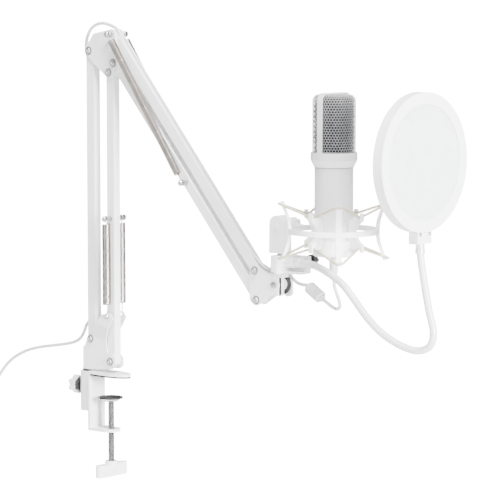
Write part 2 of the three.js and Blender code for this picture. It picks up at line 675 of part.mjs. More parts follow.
function mountFrame() {
  const half = RING_BAND / 2;
  const inner = RING_R - RING_THICK;
  const ring = lathe([[inner, -half], [RING_R, -half], [RING_R, half], [inner, half], [inner, -half]], 48);
  const rise = RIB_HEIGHT / 2;
  const waist = RING_R + 0.5;
  const profile = new THREE.Shape();
  profile.moveTo(RIB_TIP_R, rise);
  profile.bezierCurveTo(RIB_TIP_R - 5, rise * 0.55, waist, rise * 0.4, waist, 0);
  profile.bezierCurveTo(waist, -rise * 0.4, RIB_TIP_R - 5, -rise * 0.55, RIB_TIP_R, -rise);
  profile.lineTo(RIB_TIP_R - RIB_THICK, -rise);
  profile.bezierCurveTo(
    RIB_TIP_R - RIB_THICK - 5, -rise * 0.5, waist - RIB_THICK, -rise * 0.4, waist - RIB_THICK, 0);
  profile.bezierCurveTo(
    waist - RIB_THICK, rise * 0.4, RIB_TIP_R - RIB_THICK - 5, rise * 0.5, RIB_TIP_R - RIB_THICK, rise);
  const ribs = [45, 135, 225, 315].map((angle) =>
    slab(profile, -RIB_WIDTH / 2, RIB_WIDTH / 2, 5).rotateZ(THREE.MathUtils.degToRad(angle)));
  const lug = slab(bandOutline([{ x: STUD_X - MIC_X, z: 0, r: 9 }], 20), 8.9, 14);
  const [left, right] = [STUD_X - MIC_X, -inner - 1];
  const stem = new ConvexGeometry([
    new THREE.Vector3(left + 4, 8.9, 5),
    new THREE.Vector3(left + 4, 8.9, -5),
    new THREE.Vector3(left, 14, 5),
    new THREE.Vector3(left, 14, -5),
    new THREE.Vector3(right, -5.5, half),
    new THREE.Vector3(right, -5.5, -half),
    new THREE.Vector3(right - 3, -5.5, half + 1),
    new THREE.Vector3(right - 3, -5.5, -half - 1),
    new THREE.Vector3(right, 9, half),
    new THREE.Vector3(right, 9, -half),
  ]);
  const { width } = BASE_BLOCK;
  const swing = Math.hypot(width / 2 - 1.5, BASE_BLOCK.top - MOUNT_Z) + 1.5;
  const clearOfBase = rod([left, -20, 0], [left, 8.8, 0], swing, 32);
  const pin = rod([STUD_X - MIC_X, -30, 0], [STUD_X - MIC_X, 30, 0], 2.6 + FIT, 16);
  const frame = cut(join(ring, ...ribs, lug, stem), clearOfBase, pin);
  add('mount_frame', frame.translate(MIC_X, 0, MOUNT_Z), white);
}

function cradle() {
  const bottom = CRADLE_BOTTOM - MOUNT_Z;
  const cup = lathe([
    [9, bottom],
    [CRADLE_R - 2, bottom],
    [CRADLE_R, bottom + 2],
    [CRADLE_R, bottom + CRADLE_HEIGHT],
    [9, bottom + CRADLE_HEIGHT],
    [9, bottom],
  ], 32);
  const sleeveLow = bottom + CRADLE_HEIGHT - 0.5;
  const inner = MIC_R + GAP;
  const wallTop = HOOK_RISE - 4;
  const collar = lathe([
    [inner, sleeveLow],
    [CRADLE_R + 1, sleeveLow],
    [CRADLE_R + 1, sleeveLow + 5],
    [inner, sleeveLow + 5],
    [inner, sleeveLow],
  ], 32);
  const arm = outline([
    [inner + 0.5, -HOOK_RISE - 1],
    [33, -HOOK_RISE - 3],
    [36.5, -HOOK_RISE],
    [39, -HOOK_RISE],
    [39, -HOOK_RISE - 5.5],
    [HOOK_R, -HOOK_RISE - 5.5],
    [HOOK_R, -HOOK_RISE + 3],
    [36, -HOOK_RISE + 7],
    [30, 0],
    [36, HOOK_RISE - 7],
    [HOOK_R, HOOK_RISE - 3],
    [HOOK_R, HOOK_RISE + 5.5],
    [39, HOOK_RISE + 5.5],
    [39, HOOK_RISE],
    [36.5, HOOK_RISE],
    [33, HOOK_RISE + 2],
    [inner + 0.5, wallTop],
  ]);
  const arms = [0, 90, 180, 270].map((angle) =>
    slab(arm, -2.4, 2.4).rotateZ(THREE.MathUtils.degToRad(angle)));
  const room = rod([0, 0, sleeveLow + 0.5], [0, 0, 60], inner, 32);
  add('mount_cradle', cut(join(cup, collar, ...arms), room).translate(MIC_X, 0, MOUNT_Z), white);
}

function elastics() {
  for (const [name, sign] of [['upper', 1], ['lower', -1]]) {
    const points = [];
    for (let quarter = 0; quarter < 4; quarter += 1) {
      const hook = (quarter * Math.PI) / 2;
      const rib = hook + Math.PI / 4;
      const hookReach = 37.75;
      const ribReach = RIB_TIP_R + BAND_R + GAP;
      for (const [angle, reach, side, height] of [
        [hook, hookReach, -3.2, HOOK_RISE + BAND_R + GAP],
        [hook, hookReach, 3.2, HOOK_RISE + BAND_R + GAP],
        [rib, ribReach, -RIB_WIDTH / 2, RIB_HEIGHT / 2 - 2.6],
        [rib, ribReach, RIB_WIDTH / 2, RIB_HEIGHT / 2 - 2.6],
      ]) {
        points.push([
          MIC_X + reach * Math.cos(angle) - side * Math.sin(angle),
          reach * Math.sin(angle) + side * Math.cos(angle),
          MOUNT_Z + sign * height,
        ]);
      }
    }
    add(`mount_elastic_${name}`, loop(points, BAND_R), cream);
  }
}

function mountScrew() {
  const face = BASE_BLOCK.depth / 2;
  const shank = latheY([
    [0, -face - 2.2],
    [4, -face - 1.8],
    [4.2, -face - GAP],
    [2.6, -face - GAP],
    [2.6, 16],
    [0, 16],
  ], STUD_X, MOUNT_Z, 16);
  const knob = slab(starOutline(9.5, 8, 1.6), 14.3, 25.5, 4).translate(STUD_X, 0, MOUNT_Z);
  add('mount_tilt_knob', join(knob, shank), plastic);
}

// ---- microphone ------------------------------------------------------------------------------
function microphone() {
  const bottom = CRADLE_BOTTOM + CRADLE_HEIGHT + 1.1;
  const inner = MIC_R - MIC_WALL;
  const body = lathe([
    [inner, bottom],
    [MIC_R - 0.5, bottom],
    [MIC_R, bottom + 0.6],
    [MIC_R, MIC_BODY_TOP],
    [inner, MIC_BODY_TOP],
    [inner, bottom],
  ], 40);
  add('mic_body', body.translate(MIC_X, 0, 0), satin);

  const taperTop = COLLAR_TOP - 8.5;
  const grilleInner = GRILLE_R - GRILLE_WALL;
  const collarLow = MIC_BODY_TOP + GAP;
  const collar = lathe([
    [inner - 3, collarLow],
    [MIC_R + 0.3, collarLow],
    [COLLAR_R, taperTop],
    [COLLAR_R, COLLAR_TOP],
    [GRILLE_R + GAP, COLLAR_TOP],
    [GRILLE_R + GAP, COLLAR_TOP - 3],
    [grilleInner - 3, COLLAR_TOP - 3],
    [inner - 3, collarLow + 4],
    [inner - 3, collarLow],
  ], 40);
  const shoulder = 9;
  const archOut = new THREE.Shape();
  const strapOut = GRILLE_R + 1.4;
  const strapIn = GRILLE_R + GAP;
  archOut.moveTo(-strapOut, COLLAR_TOP - 2);
  archOut.lineTo(-strapOut, MIC_TOP - shoulder);
  archOut.absarc(-strapOut + shoulder, MIC_TOP - shoulder, shoulder, Math.PI, Math.PI / 2, true);
  archOut.absarc(strapOut - shoulder, MIC_TOP - shoulder, shoulder, Math.PI / 2, 0, true);
  archOut.lineTo(strapOut, COLLAR_TOP - 2);
  archOut.lineTo(strapIn, COLLAR_TOP - 2);
  const innerTop = MIC_TOP - 1.2;
  const soft = shoulder - 1.1;
  archOut.lineTo(strapIn, innerTop - soft);
  archOut.absarc(strapIn - soft, innerTop - soft, soft, 0, Math.PI / 2, false);
  archOut.absarc(-strapIn + soft, innerTop - soft, soft, Math.PI / 2, Math.PI, false);
  archOut.lineTo(-strapIn, COLLAR_TOP - 2);
  const strap = slab(archOut, -STRAP_WIDTH / 2, STRAP_WIDTH / 2, 5).rotateZ(Math.PI / 2);
  add('mic_grille_frame', join(collar, strap).translate(MIC_X, 0, 0), satin);

  const meshTop = MIC_TOP - 1.2 - GAP;
  const round = 7.6;
  const arc = (radius, corner, top) => {
    const points = [];
    for (let i = 0; i <= 5; i += 1) {
      const angle = (i / 5) * (Math.PI / 2);
      points.push([radius - corner + corner * Math.cos(angle), top - corner + corner * Math.sin(angle)]);
    }
    return points;
  };
  const meshLow = COLLAR_TOP - 3 + GAP;
  const outer = arc(GRILLE_R, round, meshTop);
  const hollow = arc(grilleInner, round - GRILLE_WALL, meshTop - GRILLE_WALL).reverse();
  const shell = lathe([[grilleInner, meshLow], [GRILLE_R, meshLow], ...outer, [0, meshTop],
    [0, meshTop - GRILLE_WALL], ...hollow, [grilleInner, meshLow]], 32);
  add('mic_grille_mesh', shell.translate(MIC_X, 0, 0), silver);

  const capsuleZ = (COLLAR_TOP + MIC_TOP) / 2 + 2;
  const disc = rod([-4.5, 0, capsuleZ], [4.5, 0, capsuleZ], 15, 28);
  const postLow = COLLAR_TOP - 2.7;
  const post = rod([0, 0, postLow], [0, 0, capsuleZ - 13], 4, 16);
  const flange = rod([0, 0, postLow], [0, 0, postLow + 2], 14, 24);
  add('mic_capsule', join(disc, post, flange).translate(MIC_X, 0, 0), gold);
  const boardHalf = MIC_R - MIC_WALL - 3;
  add('mic_board', box(-0.8, 0.8, -boardHalf, boardHalf, bottom + 12, MIC_BODY_TOP - 2).translate(MIC_X, 0, 0), green);
  const plug = lathe([[0, 155], [3.6, 155], [4.9, 158], [4.9, 173], [3.9, 173.3], [3.9, bottom + 5], [0, bottom + 5]], 20);
  add('mic_cable_plug', plug.translate(MIC_X, 0, 0), sleeve);
}

// ---- pop filter ------------------------------------------------------------------------------
const NECK_BASE = { x: 300.6, z: 164.4 };
const GOOSENECK = [
  [301.2, 0, 164.4], [315.2, -2, 164.6], [333, -7, 162.5], [356.3, -13, 155.6], [374.3, -15, 146.4],
  [388.1, -15, 133.5], [407, -13, 112.5], [424.8, -10, 96.7], [448.5, -6, 84.6], [470, -3, 80.6],
  [484.6, -1, 86], [488, 0, 99], [481.7, 0, 127.2], [474.8, 0, 160.2], [470.6, 0, 189.6],
];
const CORNER_STEP = 1.8;
const NECK_SPLITS = [5, 9]; // where the three lengths of the gooseneck meet

function popFilter() {
  const [low, high] = CLAMP_Z;
  const middle = (low + high) / 2;
  const halfWidth = 14.2;
  const grip = tile(
    bandOutline([
      { x: STUD_X - 2, z: -halfWidth + 4, r: 4 },
      { x: STUD_X - 2, z: halfWidth - 4, r: 4 },
      { x: STUD_X + 3.4, z: -halfWidth + 4, r: 4 },
      { x: STUD_X + 3.4, z: halfWidth - 4, r: 4 },
    ], 16),
    low,
    high,
  );
  const shelf = box(STUD_X + 5, NECK_BASE.x, -2, halfWidth - 1, low, low + 3);
  const holder = rod([STUD_X + 5, 0, NECK_BASE.z], [NECK_BASE.x - 9.5, 0, NECK_BASE.z], 6.4, 20);
  const lug = box(STUD_X + 5, NECK_BASE.x + 4, 7.5, halfWidth - 1, low + 1, high);
  const studHole = rod([STUD_X, 0, low - 1], [STUD_X, 0, high + 1], STUD_R + GAP, 20);
  const screwHole = rod([NECK_BASE.x + 0.5, 0, middle + 5], [NECK_BASE.x + 0.5, 20, middle + 5], 2 + FIT, 12);
  // the rear corners are stepped up, so that they pass over the head bracket as the clamp turns
  const step = cut(
    box(STUD_X - 20, STUD_X + 2, -20, 20, low - 1, low + CORNER_STEP),
    rod([STUD_X, 0, low - 2], [STUD_X, 0, high], 8.5, 32),
  );
  add('pop_clamp', cut(join(grip, shelf, holder, lug), studHole, screwHole, step), plastic);
  const knobX = NECK_BASE.x + 0.5;
  const knob = slab(starOutline(7, 6, 1.6), halfWidth + 2.5, halfWidth + 10, 4);
  const thread = rod([0, 7.8, 0], [0, halfWidth + 3, 0], 2, 12);
  add('pop_clamp_knob', join(knob, thread).translate(knobX, 0, middle + 5), black);
  const ferrule = rod([NECK_BASE.x - 9.2, 0, NECK_BASE.z], [NECK_BASE.x + 0.3, 0, NECK_BASE.z], 5.2, 20);

  const pinTop = POP_Z - POP_R - 4;
  const collarTop = POP_Z - POP_R - 12.3 - GAP;
  const topPin = lathe([
    [0, 187],
    [5.4, 187],
    [5.4, collarTop],
    [NECK_R, collarTop],
    [NECK_R, pinTop],
    [0, pinTop],
  ], 20).translate(POP_X, 0, 0);
  const whole = spline(GOOSENECK);
  const knots = GOOSENECK.length - 1;
  const marks = [0, ...NECK_SPLITS.map((i) => i / knots), 1];
  const names = ['gooseneck_lower', 'gooseneck_middle', 'gooseneck_upper'];
  names.forEach((name, i) => {
    const [start, end] = [marks[i], marks[i + 1]];
    const ball = (mark, radius) => {
      const { x, y, z } = whole.getPoint(mark);
      return new THREE.SphereGeometry(radius, 16, 12).translate(x, y, z);
    };
    let length = cord(new Stretch(whole, start, end), NECK_R, 10, 12);
    length = i > 0 ? cut(length, ball(start, NECK_R + GAP)) : length;
    length = i < 2 ? join(length, ball(end, NECK_R)) : length;
    const ends = { gooseneck_lower: ferrule, gooseneck_upper: topPin };
    add(name, ends[name] ? join(length, ends[name]) : length, satin);
  });

  const [back, front] = [POP_X - POP_DEPTH / 2, POP_X + POP_DEPTH / 2];
  const ledge = 1.6;
  const hoop = (r0, r1, x0, x1, sides = 48) =>
    lathe([[r0, x0], [r1, x0], [r1, x1], [r0, x1], [r0, x0]], sides).rotateY(Math.PI / 2);
  const lift = (geometry) => geometry.translate(0, 0, POP_Z);
  const tabTop = POP_Z - POP_R + 6;
  const tabLow = POP_Z - POP_R - 12.3;
  const bar = box(back, front, -12.4, 12.4, tabLow, tabTop);
  const seam = front - 3.6;
  const ring = hoop(POP_INNER_R + ledge, POP_R, back, seam - GAP);
  const lip = hoop(POP_INNER_R - 1, POP_INNER_R + ledge + 1, back, back + 1.3);
  const inside = rod([back - 1, 0, 0], [front + 1, 0, 0], POP_R - 3, 48);
  const neckHole = rod([POP_X, 0, tabLow - 1], [POP_X, 0, tabLow + 9], NECK_R + GAP, 20);
  const coverRoom = rod([seam - GAP, 0, 0], [front + 1, 0, 0], POP_R + GAP, 48);
  const trimmed = cut(bar, lift(inside), neckHole, lift(coverRoom));
  add('pop_ring', join(lift(ring), lift(lip), trimmed), plastic);
  const rim = hoop(POP_INNER_R + ledge, POP_R, seam, front);
  const frontLip = hoop(POP_INNER_R - 1, POP_INNER_R + ledge + 1, front - 1.3, front);
  add('pop_ring_cover', join(lift(rim), lift(frontLip)), plastic);
  const screenR = POP_INNER_R + ledge - GAP;
  const screen = (x) => lift(rod([x, 0, 0], [x + 0.6, 0, 0], screenR, 40));
  add('pop_screen_front', screen(front - 2.2), gauze);
  add('pop_screen_back', screen(back + 1.6), gauze);
}

// ---- cable -----------------------------------------------------------------------------------
const LOOP_ROUTE = [
  [348.5, 0, 154.7], [348.9, 0, 149], [349.6, 0, 142], [352, 1, 133.5], [355.6, 1.5, 124.5], [356.6, 1.8, 118],
  [352.6, 2, 114.6], [345.5, 2, 117], [338, 2, 121.3], [331.4, 2, 125.2],
];
const FERRITE = { from: [331, 2, 125.4], to: [309.2, 3, 138.4], r: 7.2 };
const LEAD_ROUTE = [
  [308.5, 3, 138.9], [305, 3.3, 139.6], [299.5, 4.6, 139.3], [292, 6.6, 139.8], [284.5, 9.4, 141.6],
  [278, 12, 144.4], [271.6, 12.8, 146.3], [266.2, 12.9, 147.2], [262.1, 11.4, 150.6], [258.9, 7, 153.8],
  [256.4, 3.8, 154.6], [254.8, 2.8, 154.6],
];
const CHANNEL_Z = 3.4; // cable's place above the middle of the upper bar's channel

function cables() {
  add('cable_loop', cord(LOOP_ROUTE, CABLE_R), sleeve);
  const [from, to] = [new THREE.Vector3(...FERRITE.from), new THREE.Vector3(...FERRITE.to)];
  const along = to.clone().sub(from);
  const bead = lathe([
    [0, 0],
    [4, 0],
    [4.4, 3],
    [FERRITE.r, 3.6],
    [FERRITE.r, along.length() - 2.5],
    [5, along.length()],
    [0, along.length()],
  ], 20);
  const turn = new THREE.Quaternion().setFromUnitVectors(new THREE.Vector3(0, 0, 1), along.normalize());
  bead.applyQuaternion(turn).translate(...FERRITE.from);
  add('cable_ferrite', bead, sleeve);
  add('cable_lead', cord(LEAD_ROUTE, CABLE_R), sleeve);

  const normal = { x: Math.sin(SLOPE), z: Math.cos(SLOPE) };
  const inBar = (s, rise) => [
    C1.x + s * DOWN_UPPER.x + rise * normal.x,
    0,
    C1.z + s * DOWN_UPPER.z + rise * normal.z,
  ];
  const rearX = A1.x - CHANNEL_Z;
  const upperRun = [
    [rearX + 1.2, 0, B1.z + 26.3],
    [rearX + 11, 0, B1.z + 31.8],
    [rearX + 22, 0, B1.z + 33],
    [C1.x - 8, 0, C1.z + 10.4],
    [C1.x + 1.4, 0, C1.z + 6.6],
    inBar(7.6, CHANNEL_Z + 2),
    inBar(16, CHANNEL_Z + 0.4),
    inBar(26, CHANNEL_Z),
    inBar(60, CHANNEL_Z),
    inBar(ARM / 2, CHANNEL_Z),
    inBar(ARM - 60, CHANNEL_Z),
    inBar(ARM - 25.6, CHANNEL_Z),
    inBar(ARM - 16, CHANNEL_Z + 1.6),
    inBar(ARM - 4, CHANNEL_Z + 3.6),
    inBar(ARM + 6, CHANNEL_Z + 5.2),
    [254 + head.position.x, 2.4, 154.3 + head.position.z],
  ];
  add('cable_upper_run', cord(upperRun, CABLE_R), sleeve, rig);
  const lowerRun = [
    [rearX - 9.4, 0, A1.z + 15.4],
    [rearX - 4.4, 0, A1.z + 21.5],
    [rearX - 0.8, 0, A1.z + 27],
    [rearX, 0, A1.z + 33.6],
    [rearX, 0, A1.z + 70],
    [rearX, 0, A1.z + ARM / 2],
    [rearX, 0, B1.z - 60],
    [rearX, 0, B1.z - 32.6],
    [rearX - 1.2, 0, B1.z - 22],
    [rearX - 5, 0, B1.z - 10],
    [rearX - 8, 0, B1.z + 2],
    [rearX - 6.5, 0, B1.z + 15],
    [rearX + 0.1, 0, B1.z + 25.2],
  ];
  add('cable_lower_run', cord(lowerRun, CABLE_R), sleeve, rig);
  add('cable_tail', cord(TAIL_ROUTE, CABLE_R, 8, 11), sleeve, rig);
  const { x, y, z, mean, inner, outer, height } = COIL;
  const ring = lathe([
    [inner, 0], [outer, 0], [outer, height], [inner, height], [inner, 0]], 28);
  add('cable_coil', ring.translate(x, y, z), sleeve, rig);
  const plugX = x + mean;
  const shell = box(plugX - 6, plugX + 6, y - outer - 27, y - outer - 6, z, z + 7);
  const tongueBox = box(plugX - 4.5, plugX + 4.5, y - outer - 39, y - outer - 26.5, z + 1.2, z + 5.8);
  add('cable_usb_plug', join(shell, tongueBox), sleeve, rig);
}

const FLOOR_Z = -149;
const COIL = { x: -264, y: 0, z: FLOOR_Z, mean: 22, inner: 15.6, outer: 28.4, height: 12.6 };
const TAIL_ROUTE = [
  [-41, 0, 63.8], [-44.5, 0, 56.4], [-49.5, 0, 48.6], [-57, 0, 42.8], [-68.6, 0, 38.8], [-82, 0, 35.9],
  [-102, 0, 32.4], [-125, 0, 28], [-150, 0, 20.5], [-175, 0, 7], [-196, 0, -14], [-212, 0, -42],
  [-223, 0, -74], [-230, 0, -106], [-233, -1, -128], [-233.6, -6, -139], [-233.2, -16, -144.6], [-234, -27, -146.6],
];

clampParts();
baseParts();
lowerArm();
elbow();
upperArm();
carrier = head;
headParts();
mountBase();
mountFrame();
cradle();
elastics();
mountScrew();
microphone();
popFilter();
cables();

export default group;
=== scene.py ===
import math

import bpy
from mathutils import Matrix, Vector


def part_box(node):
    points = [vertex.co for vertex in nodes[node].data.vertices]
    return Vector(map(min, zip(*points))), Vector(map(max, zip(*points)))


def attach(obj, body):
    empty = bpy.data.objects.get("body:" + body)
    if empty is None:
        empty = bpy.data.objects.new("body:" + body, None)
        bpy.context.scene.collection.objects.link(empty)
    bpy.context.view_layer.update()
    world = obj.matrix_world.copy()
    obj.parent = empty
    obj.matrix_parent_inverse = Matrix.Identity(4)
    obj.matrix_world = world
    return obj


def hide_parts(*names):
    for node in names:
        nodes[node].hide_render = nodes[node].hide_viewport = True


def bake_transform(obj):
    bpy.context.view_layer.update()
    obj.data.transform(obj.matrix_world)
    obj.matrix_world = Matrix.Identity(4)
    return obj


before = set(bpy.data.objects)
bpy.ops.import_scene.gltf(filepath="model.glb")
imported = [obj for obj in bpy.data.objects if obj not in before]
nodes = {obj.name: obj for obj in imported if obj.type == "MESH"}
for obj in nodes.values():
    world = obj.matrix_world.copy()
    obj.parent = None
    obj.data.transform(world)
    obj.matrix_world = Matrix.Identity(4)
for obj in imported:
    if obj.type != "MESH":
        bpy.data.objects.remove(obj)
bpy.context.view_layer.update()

# Sizes and heights below are in millimetres. Height 0 is JAW under the origin of the frame.
JAW = 4.3


def mm(x, y, z):
    return Vector((x / 1000, y / 1000, (z - JAW) / 1000))


def place(p, y=0):
    """A point of the arm's plane, given as (x, height), at depth y."""
    return mm(p[0], y, p[1])


# The arm's pivots as (x, height): A at the base, B and C at the elbow, D at the head.
ARM = 350
A1, A2 = (-27, 48.8), (6, 23.3)
B1, B2 = (A1[0], A1[1] + ARM), (A2[0], A2[1] + ARM)
C1 = (B1[0] + 38.2, B1[1] + 20)
C2 = (C1[0] + 2.5, C1[1] - 34)
SLOPE = math.radians(49.7)
DOWN = (math.cos(SLOPE), -math.sin(SLOPE))
OUT = (math.sin(SLOPE), math.cos(SLOPE))
D1 = (C1[0] + ARM * DOWN[0], C1[1] + ARM * DOWN[1])
D2 = (C2[0] + ARM * DOWN[0], C2[1] + ARM * DOWN[1])
MIC_X, MOUNT_Z = 348.5, 204.2
POP_X = 470

# ---- camera ----------------------------------------------------------------------------------
SENSOR, LENS = 36, 187.6
CAMERA_AZIMUTH, CAMERA_ELEVATION = 41, 6
CAMERA_AT = (2.1847, -2.2554, 0.4881 - JAW / 1000)  # metres, solved from the photograph
camera = bpy.data.objects.new("camera", bpy.data.cameras.new("camera"))
bpy.context.scene.collection.objects.link(camera)
bpy.context.scene.camera = camera
camera.data.sensor_width = SENSOR
camera.data.lens = LENS
az, el = math.radians(CAMERA_AZIMUTH), math.radians(CAMERA_ELEVATION)
back = Vector((math.sin(az) * math.cos(el), -math.cos(az) * math.cos(el), math.sin(el)))
camera.location = CAMERA_AT
camera.rotation_euler = (-back).to_track_quat("-Z", "Y").to_euler()
camera.data.clip_end = 60


# ---- materials -------------------------------------------------------------------------------
GLOSS_SPREAD = 0.07  # roughness goes this far either way
BUMP_DEPTH = 0.0002  # metres
BROAD = 18  # the broad noise is this many times coarser than the fine one


def material(name, color, rough, metal=0.0, grain=900.0, bump=0.08, vary=0.05):
    """A surface whose colour, gloss and height all vary a little, from two scales of noise."""
    m = bpy.data.materials.new(name)
    m.use_nodes = True
    tree = m.node_tree
    bsdf = tree.nodes["Principled BSDF"]
    link = tree.links.new

    def node(kind, **inputs):
        n = tree.nodes.new(kind)
        for key, value in inputs.items():
            n.inputs[key].default_value = value
        return n

    coords = tree.nodes.new("ShaderNodeTexCoord")
    fine = node("ShaderNodeTexNoise", Scale=grain, Detail=4.0, Roughness=0.6)
    broad = node("ShaderNodeTexNoise", Scale=grain / BROAD, Detail=5.0, Roughness=0.55)
    link(coords.outputs["Object"], fine.inputs["Vector"])
    link(coords.outputs["Object"], broad.inputs["Vector"])
    ramp = tree.nodes.new("ShaderNodeValToRGB")
    ramp.color_ramp.elements[0].position = 0.3
    ramp.color_ramp.elements[1].position = 0.72
    low = tuple(c * (1 - vary) for c in color)
    ramp.color_ramp.elements[0].color = (*low, 1)
    ramp.color_ramp.elements[1].color = (*color, 1)
    link(broad.outputs["Fac"], ramp.inputs["Fac"])
    link(ramp.outputs["Color"], bsdf.inputs["Base Color"])
    gloss = tree.nodes.new("ShaderNodeMapRange")
    gloss.inputs["To Min"].default_value = max(0.03, rough - GLOSS_SPREAD)
    gloss.inputs["To Max"].default_value = min(1.0, rough + GLOSS_SPREAD)
    link(fine.outputs["Fac"], gloss.inputs["Value"])
    link(gloss.outputs["Result"], bsdf.inputs["Roughness"])
    height = node("ShaderNodeBump", Strength=bump, Distance=BUMP_DEPTH)
    link(fine.outputs["Fac"], height.inputs["Height"])
    link(height.outputs["Normal"], bsdf.inputs["Normal"])
    bsdf.inputs["Metallic"].default_value = metal
    return m


paint = material("powder_coat", (0.86, 0.86, 0.87), 0.42, grain=2600, bump=0.22, vary=0.03)
plastic = material("moulded_white", (0.88, 0.88, 0.885), 0.42, grain=1700, bump=0.12, vary=0.03)
matte_white = material("handle_white", (0.88, 0.88, 0.88), 0.5, grain=1500, bump=0.1, vary=0.02)
rubber = material("black_rubber", (0.01, 0.01, 0.01), 0.8, grain=2200, bump=0.4, vary=0.3)
black = material("black_plastic", (0.022, 0.022, 0.023), 0.45, grain=1600, bump=0.2, vary=0.25)
steel = material("plated_steel", (0.42, 0.4, 0.385), 0.3, 1.0, grain=1500, bump=0.15, vary=0.15)
dark_steel = material("screw_steel", (0.34, 0.33, 0.325), 0.26, 1.0, grain=1500, bump=0.2, vary=0.3)
spring_steel = material(
    "spring_steel", (0.5, 0.455, 0.425), 0.32, 1.0, grain=1200, bump=0.15, vary=0.2
)
chrome = material("chrome_cup", (0.75, 0.75, 0.76), 0.15, 1.0, grain=900, bump=0.03, vary=0.05)
satin = material("satin_silver", (0.78, 0.78, 0.79), 0.36, 0.35, grain=3200, bump=0.12, vary=0.03)
wire = material("grille_wire", (0.5, 0.5, 0.51), 0.3, 0.8, grain=2600, bump=0.15, vary=0.06)
# Black, for the grille's liner and as painted shade in the mic's gap and groove.
liner_and_gap_shade = material("liner", (0.01, 0.01, 0.01), 0.95, grain=2400, bump=0.6, vary=0.5)
jacket = material("cable_jacket", (0.62, 0.62, 0.615), 0.5, grain=2200, bump=0.18, vary=0.05)
bead = material("bead_plastic", (0.6, 0.6, 0.6), 0.42, grain=1500, bump=0.12, vary=0.03)
neck = material("neck_coat", (0.74, 0.74, 0.745), 0.4, 0.15, grain=2000, bump=0.15, vary=0.04)
elastic = material("elastic", (0.55, 0.49, 0.375), 0.85, grain=2600, bump=0.9, vary=0.25)
gold = material("capsule_gold", (0.7, 0.52, 0.22), 0.28, 1.0, grain=1200, bump=0.1, vary=0.1)
board = material("circuit_board", (0.02, 0.12, 0.05), 0.4, grain=900, bump=0.3, vary=0.4)


THREADS = 210  # scale of the waves that stand for threads
THIN, DENSE = 0.62, 0.97  # how much of the light a gap and a thread stop


def gauze_material(name):
    """Fine white mesh: threads over gaps, from two crossed waves."""
    m = material(name, (0.93, 0.93, 0.925), 0.85, grain=1100, bump=0.9, vary=0.1)
    tree = m.node_tree
    bsdf = tree.nodes["Principled BSDF"]
    coords = tree.nodes.new("ShaderNodeTexCoord")
    waves = []
    for axis in ("Y", "Z"):
        wave = tree.nodes.new("ShaderNodeTexWave")
        wave.bands_direction = axis
        wave.inputs["Scale"].default_value = THREADS
        wave.inputs["Distortion"].default_value = 0.6
        wave.inputs["Detail Scale"].default_value = 400
        tree.links.new(coords.outputs["Object"], wave.inputs["Vector"])
        waves.append(wave)
    both = tree.nodes.new("ShaderNodeMath")
    both.operation = "MAXIMUM"
    tree.links.new(waves[0].outputs["Fac"], both.inputs[0])
    tree.links.new(waves[1].outputs["Fac"], both.inputs[1])
    cover = tree.nodes.new("ShaderNodeMapRange")
    cover.inputs["From Min"].default_value = 0.35
    cover.inputs["From Max"].default_value = 0.85
    cover.inputs["To Min"].default_value = THIN
    cover.inputs["To Max"].default_value = DENSE
    tree.links.new(both.outputs["Value"], cover.inputs["Value"])
    tree.links.new(cover.outputs["Result"], bsdf.inputs["Alpha"])
    bsdf.inputs["Subsurface Weight"].default_value = 0.15
    return m


gauze = gauze_material("gauze")


# ---- mesh tools ------------------------------------------------------------------------------
def build(name, verts, faces, mat, sharp=38):
    """A smooth-shaded object, with edges sharp above an angle in degrees."""
    mesh = bpy.data.meshes.new(name)
    mesh.from_pydata([tuple(v) for v in verts], [], faces)
    mesh.validate()
    mesh.update()
    obj = bpy.data.objects.new(name, mesh)
    bpy.context.scene.collection.objects.link(obj)
    mesh.materials.append(mat)
    mesh.shade_smooth()
    mesh.set_sharp_from_angle(angle=math.radians(sharp))
    return obj


def through(points, step):
    """Points at even steps, in metres, along a smooth line through the given ones."""
    p = [points[0] * 2 - points[1], *points, points[-1] * 2 - points[-2]]
    dense = []
    for i in range(1, len(p) - 2):
        a, b, c, d = p[i - 1], p[i], p[i + 1], p[i + 2]
        t = [0.0]
        for u, v in ((a, b), (b, c), (c, d)):
            t.append(t[-1] + max(1e-6, (v - u).length ** 0.5))
        count = 24
        for k in range(count):
            s = t[1] + (t[2] - t[1]) * k / count
            a1 = a * ((t[1] - s) / (t[1] - t[0])) + b * ((s - t[0]) / (t[1] - t[0]))
            a2 = b * ((t[2] - s) / (t[2] - t[1])) + c * ((s - t[1]) / (t[2] - t[1]))
            a3 = c * ((t[3] - s) / (t[3] - t[2])) + d * ((s - t[2]) / (t[3] - t[2]))
            b1 = a1 * ((t[2] - s) / (t[2] - t[0])) + a2 * ((s - t[0]) / (t[2] - t[0]))
            b2 = a2 * ((t[3] - s) / (t[3] - t[1])) + a3 * ((s - t[1]) / (t[3] - t[1]))
            dense.append(b1 * ((t[2] - s) / (t[2] - t[1])) + b2 * ((s - t[1]) / (t[2] - t[1])))
    dense.append(points[-1].copy())
    return even(dense, step)


def even(dense, step):
    """The same line, with its points at even distances."""
    total = [0.0]
    for a, b in zip(dense, dense[1:]):
        total.append(total[-1] + (b - a).length)
    count = max(2, round(total[-1] / step))
    found, j = [], 0
    for i in range(count + 1):
        s = total[-1] * i / count
        while j < len(total) - 2 and total[j + 1] < s:
            j += 1
        span = max(1e-12, total[j + 1] - total[j])
        found.append(dense[j].lerp(dense[j + 1], (s - total[j]) / span))
    return found


def measure(points):
    """Length along the points, in metres."""
    return sum((b - a).length for a, b in zip(points, points[1:]))


